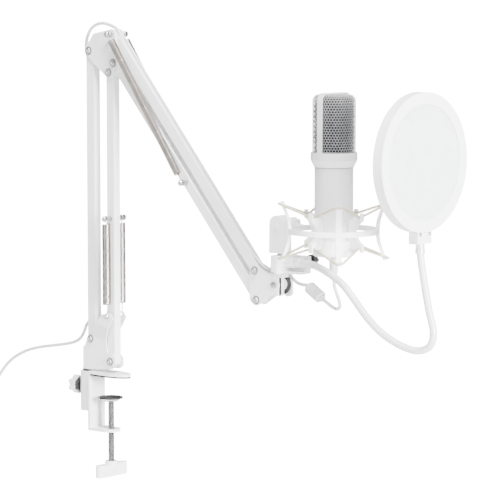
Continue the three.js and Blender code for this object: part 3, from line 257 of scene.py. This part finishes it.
def sweep(points, radius, sides=12, loop=False):
    """A round tube along points. radius is a number or one for each point."""
    n = len(points)
    radii = radius if isinstance(radius, list) else [radius] * n
    verts, faces = [], []
    side = None
    for i, p in enumerate(points):
        before = points[i - 1] if i or loop else p
        after = points[(i + 1) % n] if i < n - 1 or loop else p
        along = (after - before).normalized()
        if side is None:
            other = Vector((0, 0, 1)) if abs(along.z) < 0.9 else Vector((0, 1, 0))
            side = along.cross(other).normalized()
        side = (side - along * side.dot(along)).normalized()
        up = along.cross(side)
        for k in range(sides):
            a = 2 * math.pi * k / sides
            verts.append(p + (side * math.cos(a) + up * math.sin(a)) * radii[i])
    for i in range(n if loop else n - 1):
        for k in range(sides):
            a, b = i * sides + k, i * sides + (k + 1) % sides
            c, d = ((i + 1) % n) * sides + k, ((i + 1) % n) * sides + (k + 1) % sides
            faces.append((a, b, d, c))
    if not loop:
        faces.append(tuple(reversed(range(sides))))
        faces.append(tuple(range((n - 1) * sides, n * sides)))
    return verts, faces


def turned(name, profile, origin, direction, mat, sides=32, sharp=38):
    """[radius, distance] corners in millimetres turned about a line from origin along direction."""
    d = direction.normalized()
    other = Vector((0, 0, 1)) if abs(d.z) < 0.9 else Vector((1, 0, 0))
    u = d.cross(other).normalized()
    v = d.cross(u)
    verts, faces = [], []
    for r, t in profile:
        for k in range(sides):
            a = 2 * math.pi * k / sides
            aside = (u * math.cos(a) + v * math.sin(a)) * max(r, 0.001)
            verts.append(origin + (d * t + aside) / 1000)
    for i in range(len(profile) - 1):
        for k in range(sides):
            a, b = i * sides + k, i * sides + (k + 1) % sides
            faces.append((a, a + sides, b + sides, b))
    return build(name, verts, faces, mat, sharp=sharp)


def ride(obj, body, slot=None, *stands_for):
    """Puts a piece on a body, and hides the CAD nodes that it stands for. slot is not used."""
    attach(obj, body)
    if stands_for:
        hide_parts(*stands_for)
    return obj


def merge(parts):
    """Several (verts, faces) as one."""
    verts, faces = [], []
    for v, f in parts:
        base = len(verts)
        verts += v
        faces += [tuple(i + base for i in face) for face in f]
    return verts, faces


# ---- finishes on the CAD pieces --------------------------------------------------------------
FINISH = {
    paint: "clamp_frame base_bracket lower_rear_bar lower_front_bar elbow_bracket upper_top_bar "
    "upper_lower_bar head_bracket head_knuckle",
    plastic: "mount_base mount_frame mount_cradle pop_clamp pop_ring pop_ring_cover head_wing_nut "
    "mount_tilt_knob",
    matte_white: "clamp_handle lock_knob",
    rubber: "clamp_jaw_pad clamp_disc_pad head_friction_pad",
    black: "swivel_washer lock_nut head_washer pop_clamp_knob",
    steel: "swivel_pin lower_spring_bolt elbow_bolt upper_spring_bolt head_tilt_bolt",
    dark_steel: "thread_stud",
    chrome: "clamp_disc",
    satin: "mic_body mic_grille_frame",
    gold: "mic_capsule",
    board: "mic_board",
    bead: "cable_ferrite mic_cable_plug cable_usb_plug",
    gauze: "pop_screen_front pop_screen_back",
}
BEVEL = {
    "clamp_handle": 1.6, "lock_knob": 1.2, "head_wing_nut": 0.9, "mount_tilt_knob": 0.9,
    "pop_clamp": 0.8, "pop_ring": 1.0, "pop_ring_cover": 1.0, "mount_base": 1.0,
    "mount_frame": 0.7, "mount_cradle": 0.6, "clamp_frame": 0.7, "head_knuckle": 0.6,
    "pop_clamp_knob": 0.6, "cable_ferrite": 0.7, "cable_usb_plug": 0.8,
}
SMALL_BEVEL = 0.35
SHARP, BEVEL_ABOVE = 34, 38  # degrees between two faces
for mat, names in FINISH.items():
    for name in names.split():
        obj = nodes[name]
        obj.data.materials.clear()
        obj.data.materials.append(mat)
        obj.data.shade_smooth()
        obj.data.set_sharp_from_angle(angle=math.radians(SHARP))
        if mat in (gauze, gold, board):
            continue
        edge = obj.modifiers.new("edge", "BEVEL")
        edge.width = BEVEL.get(name, SMALL_BEVEL) / 1000
        edge.segments = 3
        edge.limit_method = "ANGLE"
        edge.angle_limit = math.radians(BEVEL_ABOVE)
        edge.harden_normals = True
        edge.use_clamp_overlap = True


# ---- bolts over the riveted pivots -----------------------------------------------------------
BOLT_FACE = 7.4  # from the middle of the arm to the plates' outer faces


def bolt_head(name, p, body):
    start = place(p, -BOLT_FACE)
    out = Vector((0, -1, 0))
    profile = [
        (3.9, 0), (3.9, 1.1), (3.75, 2.2), (3.2, 3.1), (2.5, 3.6), (1.75, 3.75), (1.75, 1.9),
        (0, 1.7),
    ]
    cap = turned(name, profile, start, out, steel, sides=30)
    ride(cap, body, "steel")
    flat = [(2, 0), (5.1, 0), (5.1, 0.55), (2, 0.55)]
    washer = turned(name + "_washer", flat, start, out, steel, sides=30)
    ride(washer, body, "steel")


def bolt_nut(name, p, body):
    start = place(p, BOLT_FACE)
    out = Vector((0, 1, 0))
    profile = [(4.45, 0), (4.45, 2.9), (3.7, 3.3), (2.5, 3.3), (2.5, 2.4), (0, 2.4)]
    nut = turned(name, profile, start, out, steel, 6, 20)
    ride(nut, body, "steel")
    end = [(2.3, 1), (2.3, 4.1), (1.8, 4.6), (0, 4.6)]
    tip = turned(name + "_tip", end, start, out, dark_steel, 20)
    ride(tip, body, "steel")


for label, p, body in (
    ("base_rear", A1, "base"), ("base_front", A2, "base"),
    ("elbow_rear", B1, "elbow"), ("elbow_front", B2, "elbow"), ("elbow_low", C2, "elbow"),
    ("head_upper", D1, "head"), ("head_lower", D2, "head"),
):
    bolt_head(f"{label}_bolt_head", p, body)
    bolt_nut(f"{label}_bolt_nut", p, body)


# ---- clamp screw -----------------------------------------------------------------------------
def thread(name, x, y, low, high, radius, pitch, depth, mat):
    """An upright screw: one ridge that climbs by pitch a turn, fading at both ends, on a core."""
    sides = 28
    turns = (high - low) / pitch
    rows = []
    profile = [(-depth, 0.0), (-depth, 0.12), (0, 0.42), (0, 0.58), (-depth, 0.88)]
    count = int(turns * sides)
    verts, faces = [], []
    for i in range(count + 1):
        a = 2 * math.pi * i / sides
        for dr, share in profile:
            z = low + (i / sides + share) * pitch
            fade = min(1.0, (z - low) / pitch, (high - z) / pitch)
            r = radius - depth + (depth + dr) * max(0.0, fade)
            verts.append(mm(x + r * math.cos(a), y + r * math.sin(a), min(z, high)))
    n = len(profile)
    for i in range(count):
        for k in range(n - 1):
            a, b = i * n + k, (i + 1) * n + k
            faces.append((a, b, b + 1, a + 1))
        j = i + sides
        if j + 1 <= count:
            faces.append((i * n + n - 1, (i + 1) * n + n - 1, (j + 1) * n, j * n))
    core = sweep([mm(x, y, low), mm(x, y, high)], (radius - depth) / 1000, sides=sides)
    return build(name, *merge([(verts, faces), core]), mat, sharp=30)


screw_low, screw_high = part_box("clamp_screw")
SCREW_R, SCREW_PITCH, THREAD_DEPTH = 4, 1.6, 0.75
screw = thread(
    "clamp_screw_thread", 0, 0, screw_low.z * 1000 + JAW, screw_high.z * 1000 + JAW,
    SCREW_R, SCREW_PITCH, THREAD_DEPTH, dark_steel,
)
ride(screw, "clamp_screw_body", "steel", "clamp_screw")

# ---- springs ---------------------------------------------------------------------------------
def turned_about(p, angle):
    """A point in the plane of the arm, turned about the origin as a joint on +Y turns it."""
    c, q = math.cos(angle), math.sin(angle)
    return p[0] * c + p[1] * q, -p[0] * q + p[1] * c


def straight_share(start, end, pivot, limits, t):
    """How much of the far body's turn the point at share t takes, to stay nearest the line."""
    p = (start[0] - pivot[0], start[1] - pivot[1])
    q = (end[0] - pivot[0], end[1] - pivot[1])
    x = (p[0] + (q[0] - p[0]) * t, p[1] + (q[1] - p[1]) * t)
    total = 0.0
    for limit in limits:
        angle = math.radians(limit)
        far = turned_about(q, angle)
        line = (far[0] - p[0], far[1] - p[1])
        length = math.hypot(*line)

        def off(share):
            y = turned_about(x, share * angle)
            return abs((y[0] - p[0]) * line[1] - (y[1] - p[1]) * line[0]) / length

        total += abs(limit) * min((k / 80 for k in range(81)), key=off)
    return total / sum(abs(limit) for limit in limits)


SPRING_PIECES = 6  # a spring is this many lengths
HOOK_R = 3.1
HOOK_TURN = 1.72 * math.pi
COIL_GAP = 0.07  # between two turns of a spring


def spring(name, start, end, y, radius, gaps, cad, pivot, limits, wire_r=0.55):
    """A coil with a hook at each end, in lengths; each length's share of the far body's turn is
    worked out but not applied.
    """
    a, b = place(start, y), place(end, y)
    along = (b - a).normalized()
    side = Vector((0, 1, 0))
    up = along.cross(side)
    length = (b - a).length
    low, high = gaps[0] / 1000, length - gaps[1] / 1000
    turns = round((high - low) * 1000 / (wire_r * 2 + COIL_GAP))
    r = (radius - wire_r) / 1000
    steps = 14
    coil = []
    for i in range(turns * steps + 1):
        t = 2 * math.pi * i / steps
        s = low + (high - low) * i / (turns * steps)
        coil.append(a + along * s + (side * math.cos(t) + up * math.sin(t)) * r)
    hooks = []
    for centre, base, sign in ((a, a + along * low, 1), (b, a + along * high, -1)):
        hook = [
            base + along * sign * 0.0015 + side * r * 0.6,
            base + side * r * 0.25 - along * sign * 0.0008,
        ]
        count = 15
        for k in range(count):
            t = HOOK_TURN * k / (count - 1)
            hook.append(centre + (along * sign * math.cos(t) + up * math.sin(t)) * HOOK_R / 1000)
        hooks.append(sweep(through(hook, 0.0008), wire_r * 1.3 / 1000, 8))
    still = (HOOK_R + 0.2) / 1000
    cuts = [still + (length - 2 * still) * k / SPRING_PIECES for k in range(SPRING_PIECES + 1)]
    shares, most = [], 0.0
    for k, s in enumerate(cuts):
        share = k
        if k not in (0, SPRING_PIECES):
            share = straight_share(start, end, pivot, limits, s / length)
        most = min(1.0, max(most + 0.004 * (k > 0), min(share, 1.0)))
        shares.append(most if k < SPRING_PIECES else 1.0)
    for k in range(SPRING_PIECES):
        s0, s1 = cuts[k], cuts[k + 1]
        first = 0 if k == 0 else max(0, round((s0 - low) / (high - low) * turns * steps))
        last = round((s1 - low) / (high - low) * turns * steps)
        if k == SPRING_PIECES - 1:
            last = turns * steps
        parts = [sweep(coil[first:last + 1], wire_r / 1000, 6)] if last > first + 1 else []
        parts += hooks[:1] * (k == 0) + hooks[1:] * (k == SPRING_PIECES - 1)
        obj = build(f"{name}_{k}", *merge(parts), spring_steel)
        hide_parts(cad)
        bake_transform(obj)


# The points the springs hook on, and how far from the arm's middle they run.
SPRING_Y = 13
EYE = (A2[0] + 0.5, A2[1] + 56.5)
LOW_BOLT = (A2[0], A2[1] + 174.2)
HIGH_BOLT = (C2[0] + 180 * DOWN[0], C2[1] + 180 * DOWN[1])
for side, sign in (("near", -1), ("far", 1)):
    spring(f"lower_spring_coil_{side}", EYE, LOW_BOLT, sign * SPRING_Y, 5.3, (13.6, 6.3),
           f"lower_spring_{side}", A2, (-25, 50))
    spring(f"upper_spring_coil_{side}", C1, HIGH_BOLT, sign * SPRING_Y, 4.6, (9, 12.5),
           f"upper_spring_{side}", C2, (-60, 12), wire_r=0.5)


# ---- shock mount's elastic -------------------------------------------------------------------
def elastic_band(name, sign):
    """A closed loop over the cup's four hooks and the four ribs between them."""
    points = []
    for quarter in range(4):
        hook = quarter * math.pi / 2
        rib = hook + math.pi / 4
        for angle, reach, aside, height in (
            (hook, 37.75, -3.6, 17.9), (hook, 37.75, 0, 18.3), (hook, 37.75, 3.6, 17.9),
            (rib, 61.3, -3.6, 30.9), (rib, 62.0, 0, 31.0), (rib, 61.3, 3.6, 30.9),
        ):
            points.append(mm(
                MIC_X + reach * math.cos(angle) - aside * math.sin(angle),
                reach * math.sin(angle) + aside * math.cos(angle),
                MOUNT_Z + sign * height,
            ))
    fine = []
    n = len(points)
    for i in range(n):
        a, b = points[i], points[(i + 1) % n]
        count = max(2, int((b - a).length / 0.0022))
        for k in range(count):
            fine.append(a.lerp(b, k / count))
    for _ in range(2):
        m = len(fine)
        fine = [(fine[i - 1] + fine[i] * 2 + fine[(i + 1) % m]) / 4 for i in range(m)]
    radii = [0.0014 + 0.00006 * (i % 2) for i in range(len(fine))]
    obj = build(name, *sweep(fine, radii, 12, loop=True), elastic)
    ride(obj, "shock_mount", "elastic", name.replace("_cord", ""))


elastic_band("mount_elastic_upper_cord", 1)
elastic_band("mount_elastic_lower_cord", -1)


# ---- microphone grille -----------------------------------------------------------------------
def grille():
    """A sheet of round holes in a honeycomb, bent over the tube and its rounded top."""
    radius, corner, low, top = 24.4, 7.6, 290.4, 357.4
    flat = top - corner
    arc = corner * math.pi / 2

    def profile(s):
        if s < flat - low:
            return radius, low + s
        s -= flat - low
        if s < arc:
            a = s / corner
            return radius - corner + corner * math.cos(a), flat + corner * math.sin(a)
        return radius - corner - (s - arc), top

    columns = 46
    hole_share = 0.47  # a hole's radius over the distance between two holes
    sunk = 0.16  # how far a hole's edge lies under the surface
    pitch = 2 * math.pi * radius / columns
    row = pitch * math.sqrt(3) / 2
    rows = int((flat - low + arc + 6) / row)
    ring = []
    for k in range(12):
        a = math.pi / 6 * k + math.pi / 2
        if k % 2 == 0:
            ring.append((math.cos(a) * pitch / math.sqrt(3), math.sin(a) * pitch / math.sqrt(3)))
        else:
            ring.append((math.cos(a) * pitch / 2, math.sin(a) * pitch / 2))
    hole = []
    for k in range(12):
        a = math.pi / 6 * k + math.pi / 2
        hole.append((math.cos(a) * pitch * hole_share, math.sin(a) * pitch * hole_share))
    verts, faces = [], []
    for j in range(rows):
        for i in range(columns):
            u0 = (i + 0.5 * (j % 2)) * pitch
            s0 = row * (j + 0.6)
            base = len(verts)
            for u, s in [*ring, *hole]:
                r, z = profile(max(0.0, s0 + s))
                a = (u0 + u) / radius
                dip = 0.0 if (u, s) in ring else sunk
                verts.append(mm(MIC_X + (r - dip) * math.cos(a), (r - dip) * math.sin(a), z))
            for k in range(12):
                n = (k + 1) % 12
                faces.append((base + k, base + n, base + 12 + n, base + 12 + k))
    obj = build("mic_grille_weave", verts, faces, wire, sharp=80)
    weld = obj.modifiers.new("weld", "WELD")
    weld.merge_threshold = 0.00004
    thick = obj.modifiers.new("thick", "SOLIDIFY")
    thick.thickness = 0.0007
    thick.offset = -1
    ride(obj, "shock_mount", "grille_metal", "mic_grille_mesh")
    side = flat - low
    inner = [(22.4, 0), (22.4, side), (21.2, side + 4), (18, side + 6.2), (0, side + 6.4)]
    liner = turned("mic_grille_liner", inner, mm(MIC_X, 0, low), Vector((0, 0, 1)), liner_and_gap_shade, 40)
    ride(liner, "shock_mount", "grille_metal")
    edge = profile(row * (rows - 0.3))[0]
    lid = [(edge + 1.2, 0), (edge - 0.5, 0.35), (4, 0.5), (0, 0.5)]
    cap = turned("mic_grille_lid", lid, mm(MIC_X, 0, top - 0.4), Vector((0, 0, 1)), wire, 40)
    ride(cap, "shock_mount", "grille_metal")


grille()

# Black rings fill the gap over the mic's foot and the groove at its collar. They are painted shade:
# dark sheets put where the gap and the groove only lie in shade.
for name, low, high, out in (
    ("mic_foot_painted_gap_shade", 188.2, 189.3, 22.15), ("mic_collar_painted_groove_shade", 275.6, 276.1, 22.5),
):
    profile = [(21, 0), (out, 0), (out, high - low), (21, high - low)]
    gap = turned(name, profile, mm(MIC_X, 0, low), Vector((0, 0, 1)), liner_and_gap_shade, 48)
    ride(gap, "shock_mount", "black_plastic")

# ---- gooseneck -------------------------------------------------------------------------------
GOOSENECK = [
    (298.5, 0, 164.4), (305, -0.4, 164.5), (315.2, -2, 164.4), (333, -7, 162.2),
    (356.3, -13, 155.6),
    (374.3, -15, 146.4), (388.1, -15, 133.5), (407, -13, 112.5), (424.8, -10, 96.7),
    (448.5, -6, 84.4),
    (470, -3, 80.2), (484.6, -1, 86), (489, 0, 99), (482.2, 0, 127.2), (475, 0, 160.2),
    (470.9, 0, 183),
    (470, 0, 195),
]


NECK_R, RIDGE = 4.15, 0.16


def gooseneck():
    """Two tubes, ribbed most near both ends."""
    route = through([mm(*p) for p in GOOSENECK], 0.00052)
    n = len(route)
    total = measure(route)
    radii = []
    for i in range(n):
        s = total * i / (n - 1)
        near_start = min(1.0, max(0.0, (0.105 - s) / 0.03))
        near_end = min(1.0, max(0.0, (s - total + 0.1) / 0.03))
        strength = 0.18 + 0.82 * min(1.0, near_start + near_end)
        radii.append((NECK_R + RIDGE * strength * math.cos(2 * math.pi * i / 4)) / 1000)
    pivots = (mm(388.1, -15, 133.5), mm(470, -3, 80.6))
    turn_at = [min(range(n), key=lambda i: (route[i] - p).length) for p in pivots]
    middle = (turn_at[0] + turn_at[1]) // 2
    for name, lo, hi, pivot, bodies, cads in (
        ("gooseneck_tube_lower", 0, middle, turn_at[0], ("pop_base", "pop_middle"),
         ("gooseneck_lower", "gooseneck_middle")),
        ("gooseneck_tube_upper", middle, n - 1, turn_at[1], ("pop_middle", "pop_head"),
        ("gooseneck_upper",)),
    ):
        obj = build(name, *sweep(route[lo:hi + 1], radii[lo:hi + 1], 20), neck, sharp=80)
        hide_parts(*cads)
        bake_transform(obj)


gooseneck()
x_axis, z_axis = Vector((1, 0, 0)), Vector((0, 0, 1))
ferrule = turned(
    "gooseneck_ferrule",
    [(4.4, 0), (5.2, 0.3), (5.4, 0.8), (5.4, 9.6), (5.0, 10.2), (4.3, 10.2)],
    mm(291, 0, 164.4), x_axis, satin, 32)
ride(ferrule, "pop_base", "neck_metal")
top_ferrule = turned(
    "gooseneck_top_ferrule",
    [(4.3, 0), (5.0, 0), (5.4, 0.5), (5.4, 4.6), (5.0, 5.1), (5.0, 10.4), (4.3, 10.6), (4.3, 17)],
    mm(POP_X, 0, 187), z_axis, satin, 32)
ride(top_ferrule, "pop_head", "neck_metal")

# ---- pop filter's screws and mount details ---------------------------------------------------
for i, y in enumerate((-8.2, 8.2)):
    profile = [(2.1, 0), (2.1, 0.4), (1.7, 0.9), (0.9, 1.1), (0.9, 0.3), (0, 0.3)]
    piece = turned(f"pop_tab_screw_{i}", profile, mm(POP_X + 6.2, y, 208.5), x_axis, dark_steel, 20)
    ride(piece, "pop_head", "steel")

# ---- cable -----------------------------------------------------------------------------------
CABLE_R = 0.002


def in_bar(s, rise):
    """A point s down the upper bar from its elbow pivot, and rise above its middle."""
    return mm(C1[0] + s * DOWN[0] + rise * OUT[0], 0, C1[1] + s * DOWN[1] + rise * OUT[1])


rear = A1[0] - 3.4  # where the cable lies along the lower arm
LOOP = [
    (348.5, 0, 158), (348.5, 0, 154.7), (348.9, 0, 149), (349.8, 0, 142), (352.3, 1, 133.5),
    (355.6, 1.5, 125),
    (356.2, 1.8, 119.2), (352.6, 2, 115.9), (345.5, 2, 117.6), (338, 2, 121.6), (331.4, 2, 125.2),
    (329.5, 2.1, 126.3),
]
LEAD = [
    (310.5, 2.9, 137.6), (308.5, 3, 138.6), (305, 3.3, 139.3), (299.5, 4.6, 139.2),
    (292, 6.6, 139.8),
    (284.5, 9.4, 141.6), (278, 12, 144.4), (271.6, 12.8, 146.3), (266.2, 12.9, 147.2),
    (262.1, 11.4, 150.6),
    (258.9, 7.4, 153.4), (256, 3.8, 154.6),
]


def run(*parts):
    """One smooth line through several lists of points, and where each list ends on it."""
    flat = [p for part in parts for p in part]
    line = through(flat, 0.0012)
    ends = [part[-1] for part in parts]
    return line, [min(range(len(line)), key=lambda i: (line[i] - e).length) for e in ends]


head_part = [
    mm(255.9, 3.6, 154.65), mm(248.8, 0.9, 153.6),
    in_bar(ARM - 4, 7), in_bar(ARM - 16, 5), in_bar(ARM - 30, 3.4),
]
upper_part = [in_bar(ARM - 60, 3.4), in_bar(ARM / 2, 3.4), in_bar(60, 3.4), in_bar(26, 3.4)]
over_part = [
    in_bar(16, 3.8), in_bar(7.6, 5.4), mm(C1[0] + 1.4, 0, C1[1] + 6.8),
    mm(C1[0] - 8, 0, C1[1] + 10.6),
    mm(rear + 22, 0, B1[1] + 33), mm(rear + 11, 0, B1[1] + 31.8), mm(rear + 0.6, 0, B1[1] + 26),
]
side_part = [
    mm(rear - 6.5, 0, B1[1] + 15), mm(rear - 8, 0, B1[1] + 2), mm(rear - 5, 0, B1[1] - 10),
    mm(rear - 1.2, 0, B1[1] - 22),
    mm(rear, 0, B1[1] - 34),
]
lower_part = [
    mm(rear, 0, B1[1] - 60), mm(rear, 0, A1[1] + ARM / 2), mm(rear, 0, A1[1] + 70),
    mm(rear, 0, A1[1] + 34),
]
foot_part = [
    mm(rear - 0.8, 0, A1[1] + 27), mm(rear - 4.4, 0, A1[1] + 21.5), mm(rear - 8.6, 0, A1[1] + 17.2),
    mm(-41, 0, 63.8),
]
line, ends = run(head_part, upper_part, over_part, side_part, lower_part, foot_part)
ends = [0, *ends]
pieces_of_run = [
    ("cable_at_head", ("head", "upper_top"), ()),
    ("cable_upper_length", "upper_top", ("cable_upper_run",)),
    ("cable_over_elbow", ("upper_top", "elbow"), ()),
    ("cable_behind_elbow", ("elbow", "lower_rear"), ()),
    ("cable_lower_length", "lower_rear", ("cable_lower_run",)),
    ("cable_at_foot", ("lower_rear", "base"), ()),
]
for (name, bodies, cads), i, j in zip(pieces_of_run, ends, ends[1:]):
    path = line[i:j + 1]
    obj = build(name, *sweep(path, CABLE_R, 14), jacket, sharp=80)
    if cads:
        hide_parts(*cads)
    if isinstance(bodies, str):
        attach(obj, bodies)
    else:
        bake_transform(obj)

for name, points, bodies, cads, start, end in (
    ("cable_mic_loop", LOOP, ("knuckle", "shock_mount"), ("cable_loop",), -2, 1),
    ("cable_head_lead", LEAD, ("head", "knuckle"), ("cable_lead",), -1, 4),
):
    path = through([mm(*p) for p in points], 0.0011)
    obj = build(name, *sweep(path, CABLE_R, 14), jacket, sharp=80)
    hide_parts(*cads)
    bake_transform(obj)

# The free tail: down behind the desk, into a coil of about eight and a half turns, to its plug.
FLOOR = -149
TAIL = [
    (-41, 0, 63.8), (-44.5, 0, 56.4), (-49.5, 0, 48.6), (-57, 0, 42.8), (-68.6, 0, 38.8),
    (-82, 0, 35.9),
    (-102, 0, 32.4), (-125, 0, 28), (-150, 0, 20.5), (-175, 0, 7), (-196, 0, -14), (-211, 1, -40),
    (-222, 4, -68), (-230.5, 8, -92), (-237, 11, -110), (-241.4, 8.6, -122.6), (-243.6, 0.6, -130),
    (-249.6, -11.8, -134.4), (-262.2, -18.1, -137.3), (-274.4, -14.8, -138.4),
]
# The coil from the plug's end upward, as radius and level of each turn, three across by three high.
LAYERS = [
    (26.6, 0), (22.4, 0), (18.2, 0),
    (18.2, 1), (22.4, 1), (26.6, 1),
    (26.6, 2), (22.4, 2), (18.2, 2),
]
COIL_X = -264
COIL_LIFT, LEVEL = 2.05, 4.15  # the lowest turn over the floor, and one level over the next
CROSSING = 0.7  # share of a turn after which it moves to the next one
PER_TURN = 18
COIL_POINTS = 155
coil = []
for i in range(COIL_POINTS):
    k, part = divmod(i / PER_TURN, 1)
    ease = max(0.0, (part - CROSSING) / (1 - CROSSING))
    (r0, l0), (r1, l1) = LAYERS[int(k)], LAYERS[min(len(LAYERS) - 1, int(k) + 1)]
    r, level = r0 + (r1 - r0) * ease, l0 + (l1 - l0) * ease
    a = 2 * math.pi * part
    height = FLOOR + COIL_LIFT + level * LEVEL
    coil.append(mm(COIL_X + r * math.cos(a), r * math.sin(a), height))
to_plug = [mm(-237.2, -11, FLOOR + 2.2), mm(-239.4, -22, FLOOR + 2.8), mm(-242, -36, FLOOR + 3.5)]
out_line = [mm(*p) for p in TAIL] + coil[::-1] + to_plug
curve = bpy.data.curves.new("cable_free_tail", "CURVE")
curve.dimensions = "3D"
smooth = through(out_line, 0.0035)
poly = curve.splines.new("POLY")
poly.points.add(len(smooth) - 1)
for point, p in zip(poly.points, smooth):
    point.co = (*p, 1)
curve.bevel_depth = CABLE_R
curve.bevel_resolution = 3
curve.use_fill_caps = True
curve.materials.append(jacket)
tail_obj = bpy.data.objects.new("cable_free_tail", curve)
bpy.context.scene.collection.objects.link(tail_obj)
ride(tail_obj, "base", "cable_jacket", "cable_tail", "cable_coil")

# ---- stage and light -------------------------------------------------------------------------
# The camera sees floor and sky as plain white, so the floor shows no shadow, as in the photograph.
# The object is lit by the sky, three lamps and what the pale floor sends back.
WHITE, AMBIENT = 18, 0.75
floor_mesh = bpy.data.meshes.new("floor")
size = 30.0  # metres from the middle to each side
z = (FLOOR - JAW) / 1000 - 0.0004
corners = [(-size, -size, z), (size, -size, z), (size, size, z), (-size, size, z)]
floor_mesh.from_pydata(corners, [], [(0, 1, 2, 3)])
floor = bpy.data.objects.new("floor", floor_mesh)
bpy.context.scene.collection.objects.link(floor)
floor_material = bpy.data.materials.new("pale_floor")
floor_material.use_nodes = True
tree = floor_material.node_tree
tree.nodes.clear()
out = tree.nodes.new("ShaderNodeOutputMaterial")
diffuse = tree.nodes.new("ShaderNodeBsdfDiffuse")
diffuse.inputs["Color"].default_value = (0.9, 0.9, 0.9, 1)
glow = tree.nodes.new("ShaderNodeEmission")
glow.inputs["Strength"].default_value = WHITE
rays = tree.nodes.new("ShaderNodeLightPath")
mix = tree.nodes.new("ShaderNodeMixShader")
tree.links.new(rays.outputs["Is Camera Ray"], mix.inputs["Fac"])
tree.links.new(diffuse.outputs["BSDF"], mix.inputs[1])
tree.links.new(glow.outputs["Emission"], mix.inputs[2])
tree.links.new(mix.outputs["Shader"], out.inputs["Surface"])
floor_mesh.materials.append(floor_material)

world = bpy.data.worlds.new("studio")
bpy.context.scene.world = world
world.use_nodes = True
tree = world.node_tree
sky = tree.nodes["Background"]
sky.inputs["Color"].default_value = (1, 1, 1, 1)
sky.inputs["Strength"].default_value = AMBIENT
bright = tree.nodes.new("ShaderNodeBackground")
bright.inputs["Color"].default_value = (1, 1, 1, 1)
bright.inputs["Strength"].default_value = WHITE
rays = tree.nodes.new("ShaderNodeLightPath")
mix = tree.nodes.new("ShaderNodeMixShader")
tree.links.new(rays.outputs["Is Camera Ray"], mix.inputs["Fac"])
tree.links.new(sky.outputs["Background"], mix.inputs[1])
tree.links.new(bright.outputs["Background"], mix.inputs[2])
tree.links.new(mix.outputs["Shader"], tree.nodes["World Output"].inputs["Surface"])


def lamp(name, spot, target, width, power):
    light = bpy.data.lights.new(name, "AREA")
    light.shape = "DISK"
    light.size = width
    light.energy = power
    obj = bpy.data.objects.new(name, light)
    bpy.context.scene.collection.objects.link(obj)
    obj.location = spot
    obj.rotation_euler = (Vector(target) - Vector(spot)).to_track_quat("-Z", "Y").to_euler()


lamp("key", (0.9, -0.6, 2.0), (0.15, 0, 0.2), 0.7, 130)
lamp("side", (2.8, -0.5, 0.6), (0.2, 0, 0.2), 0.9, 330)
lamp("front", (-0.2, -2.4, 0.9), (0.15, 0, 0.2), 1.0, 18)

for name in ("pop_screen_front", "pop_screen_back"):
    low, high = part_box(name)
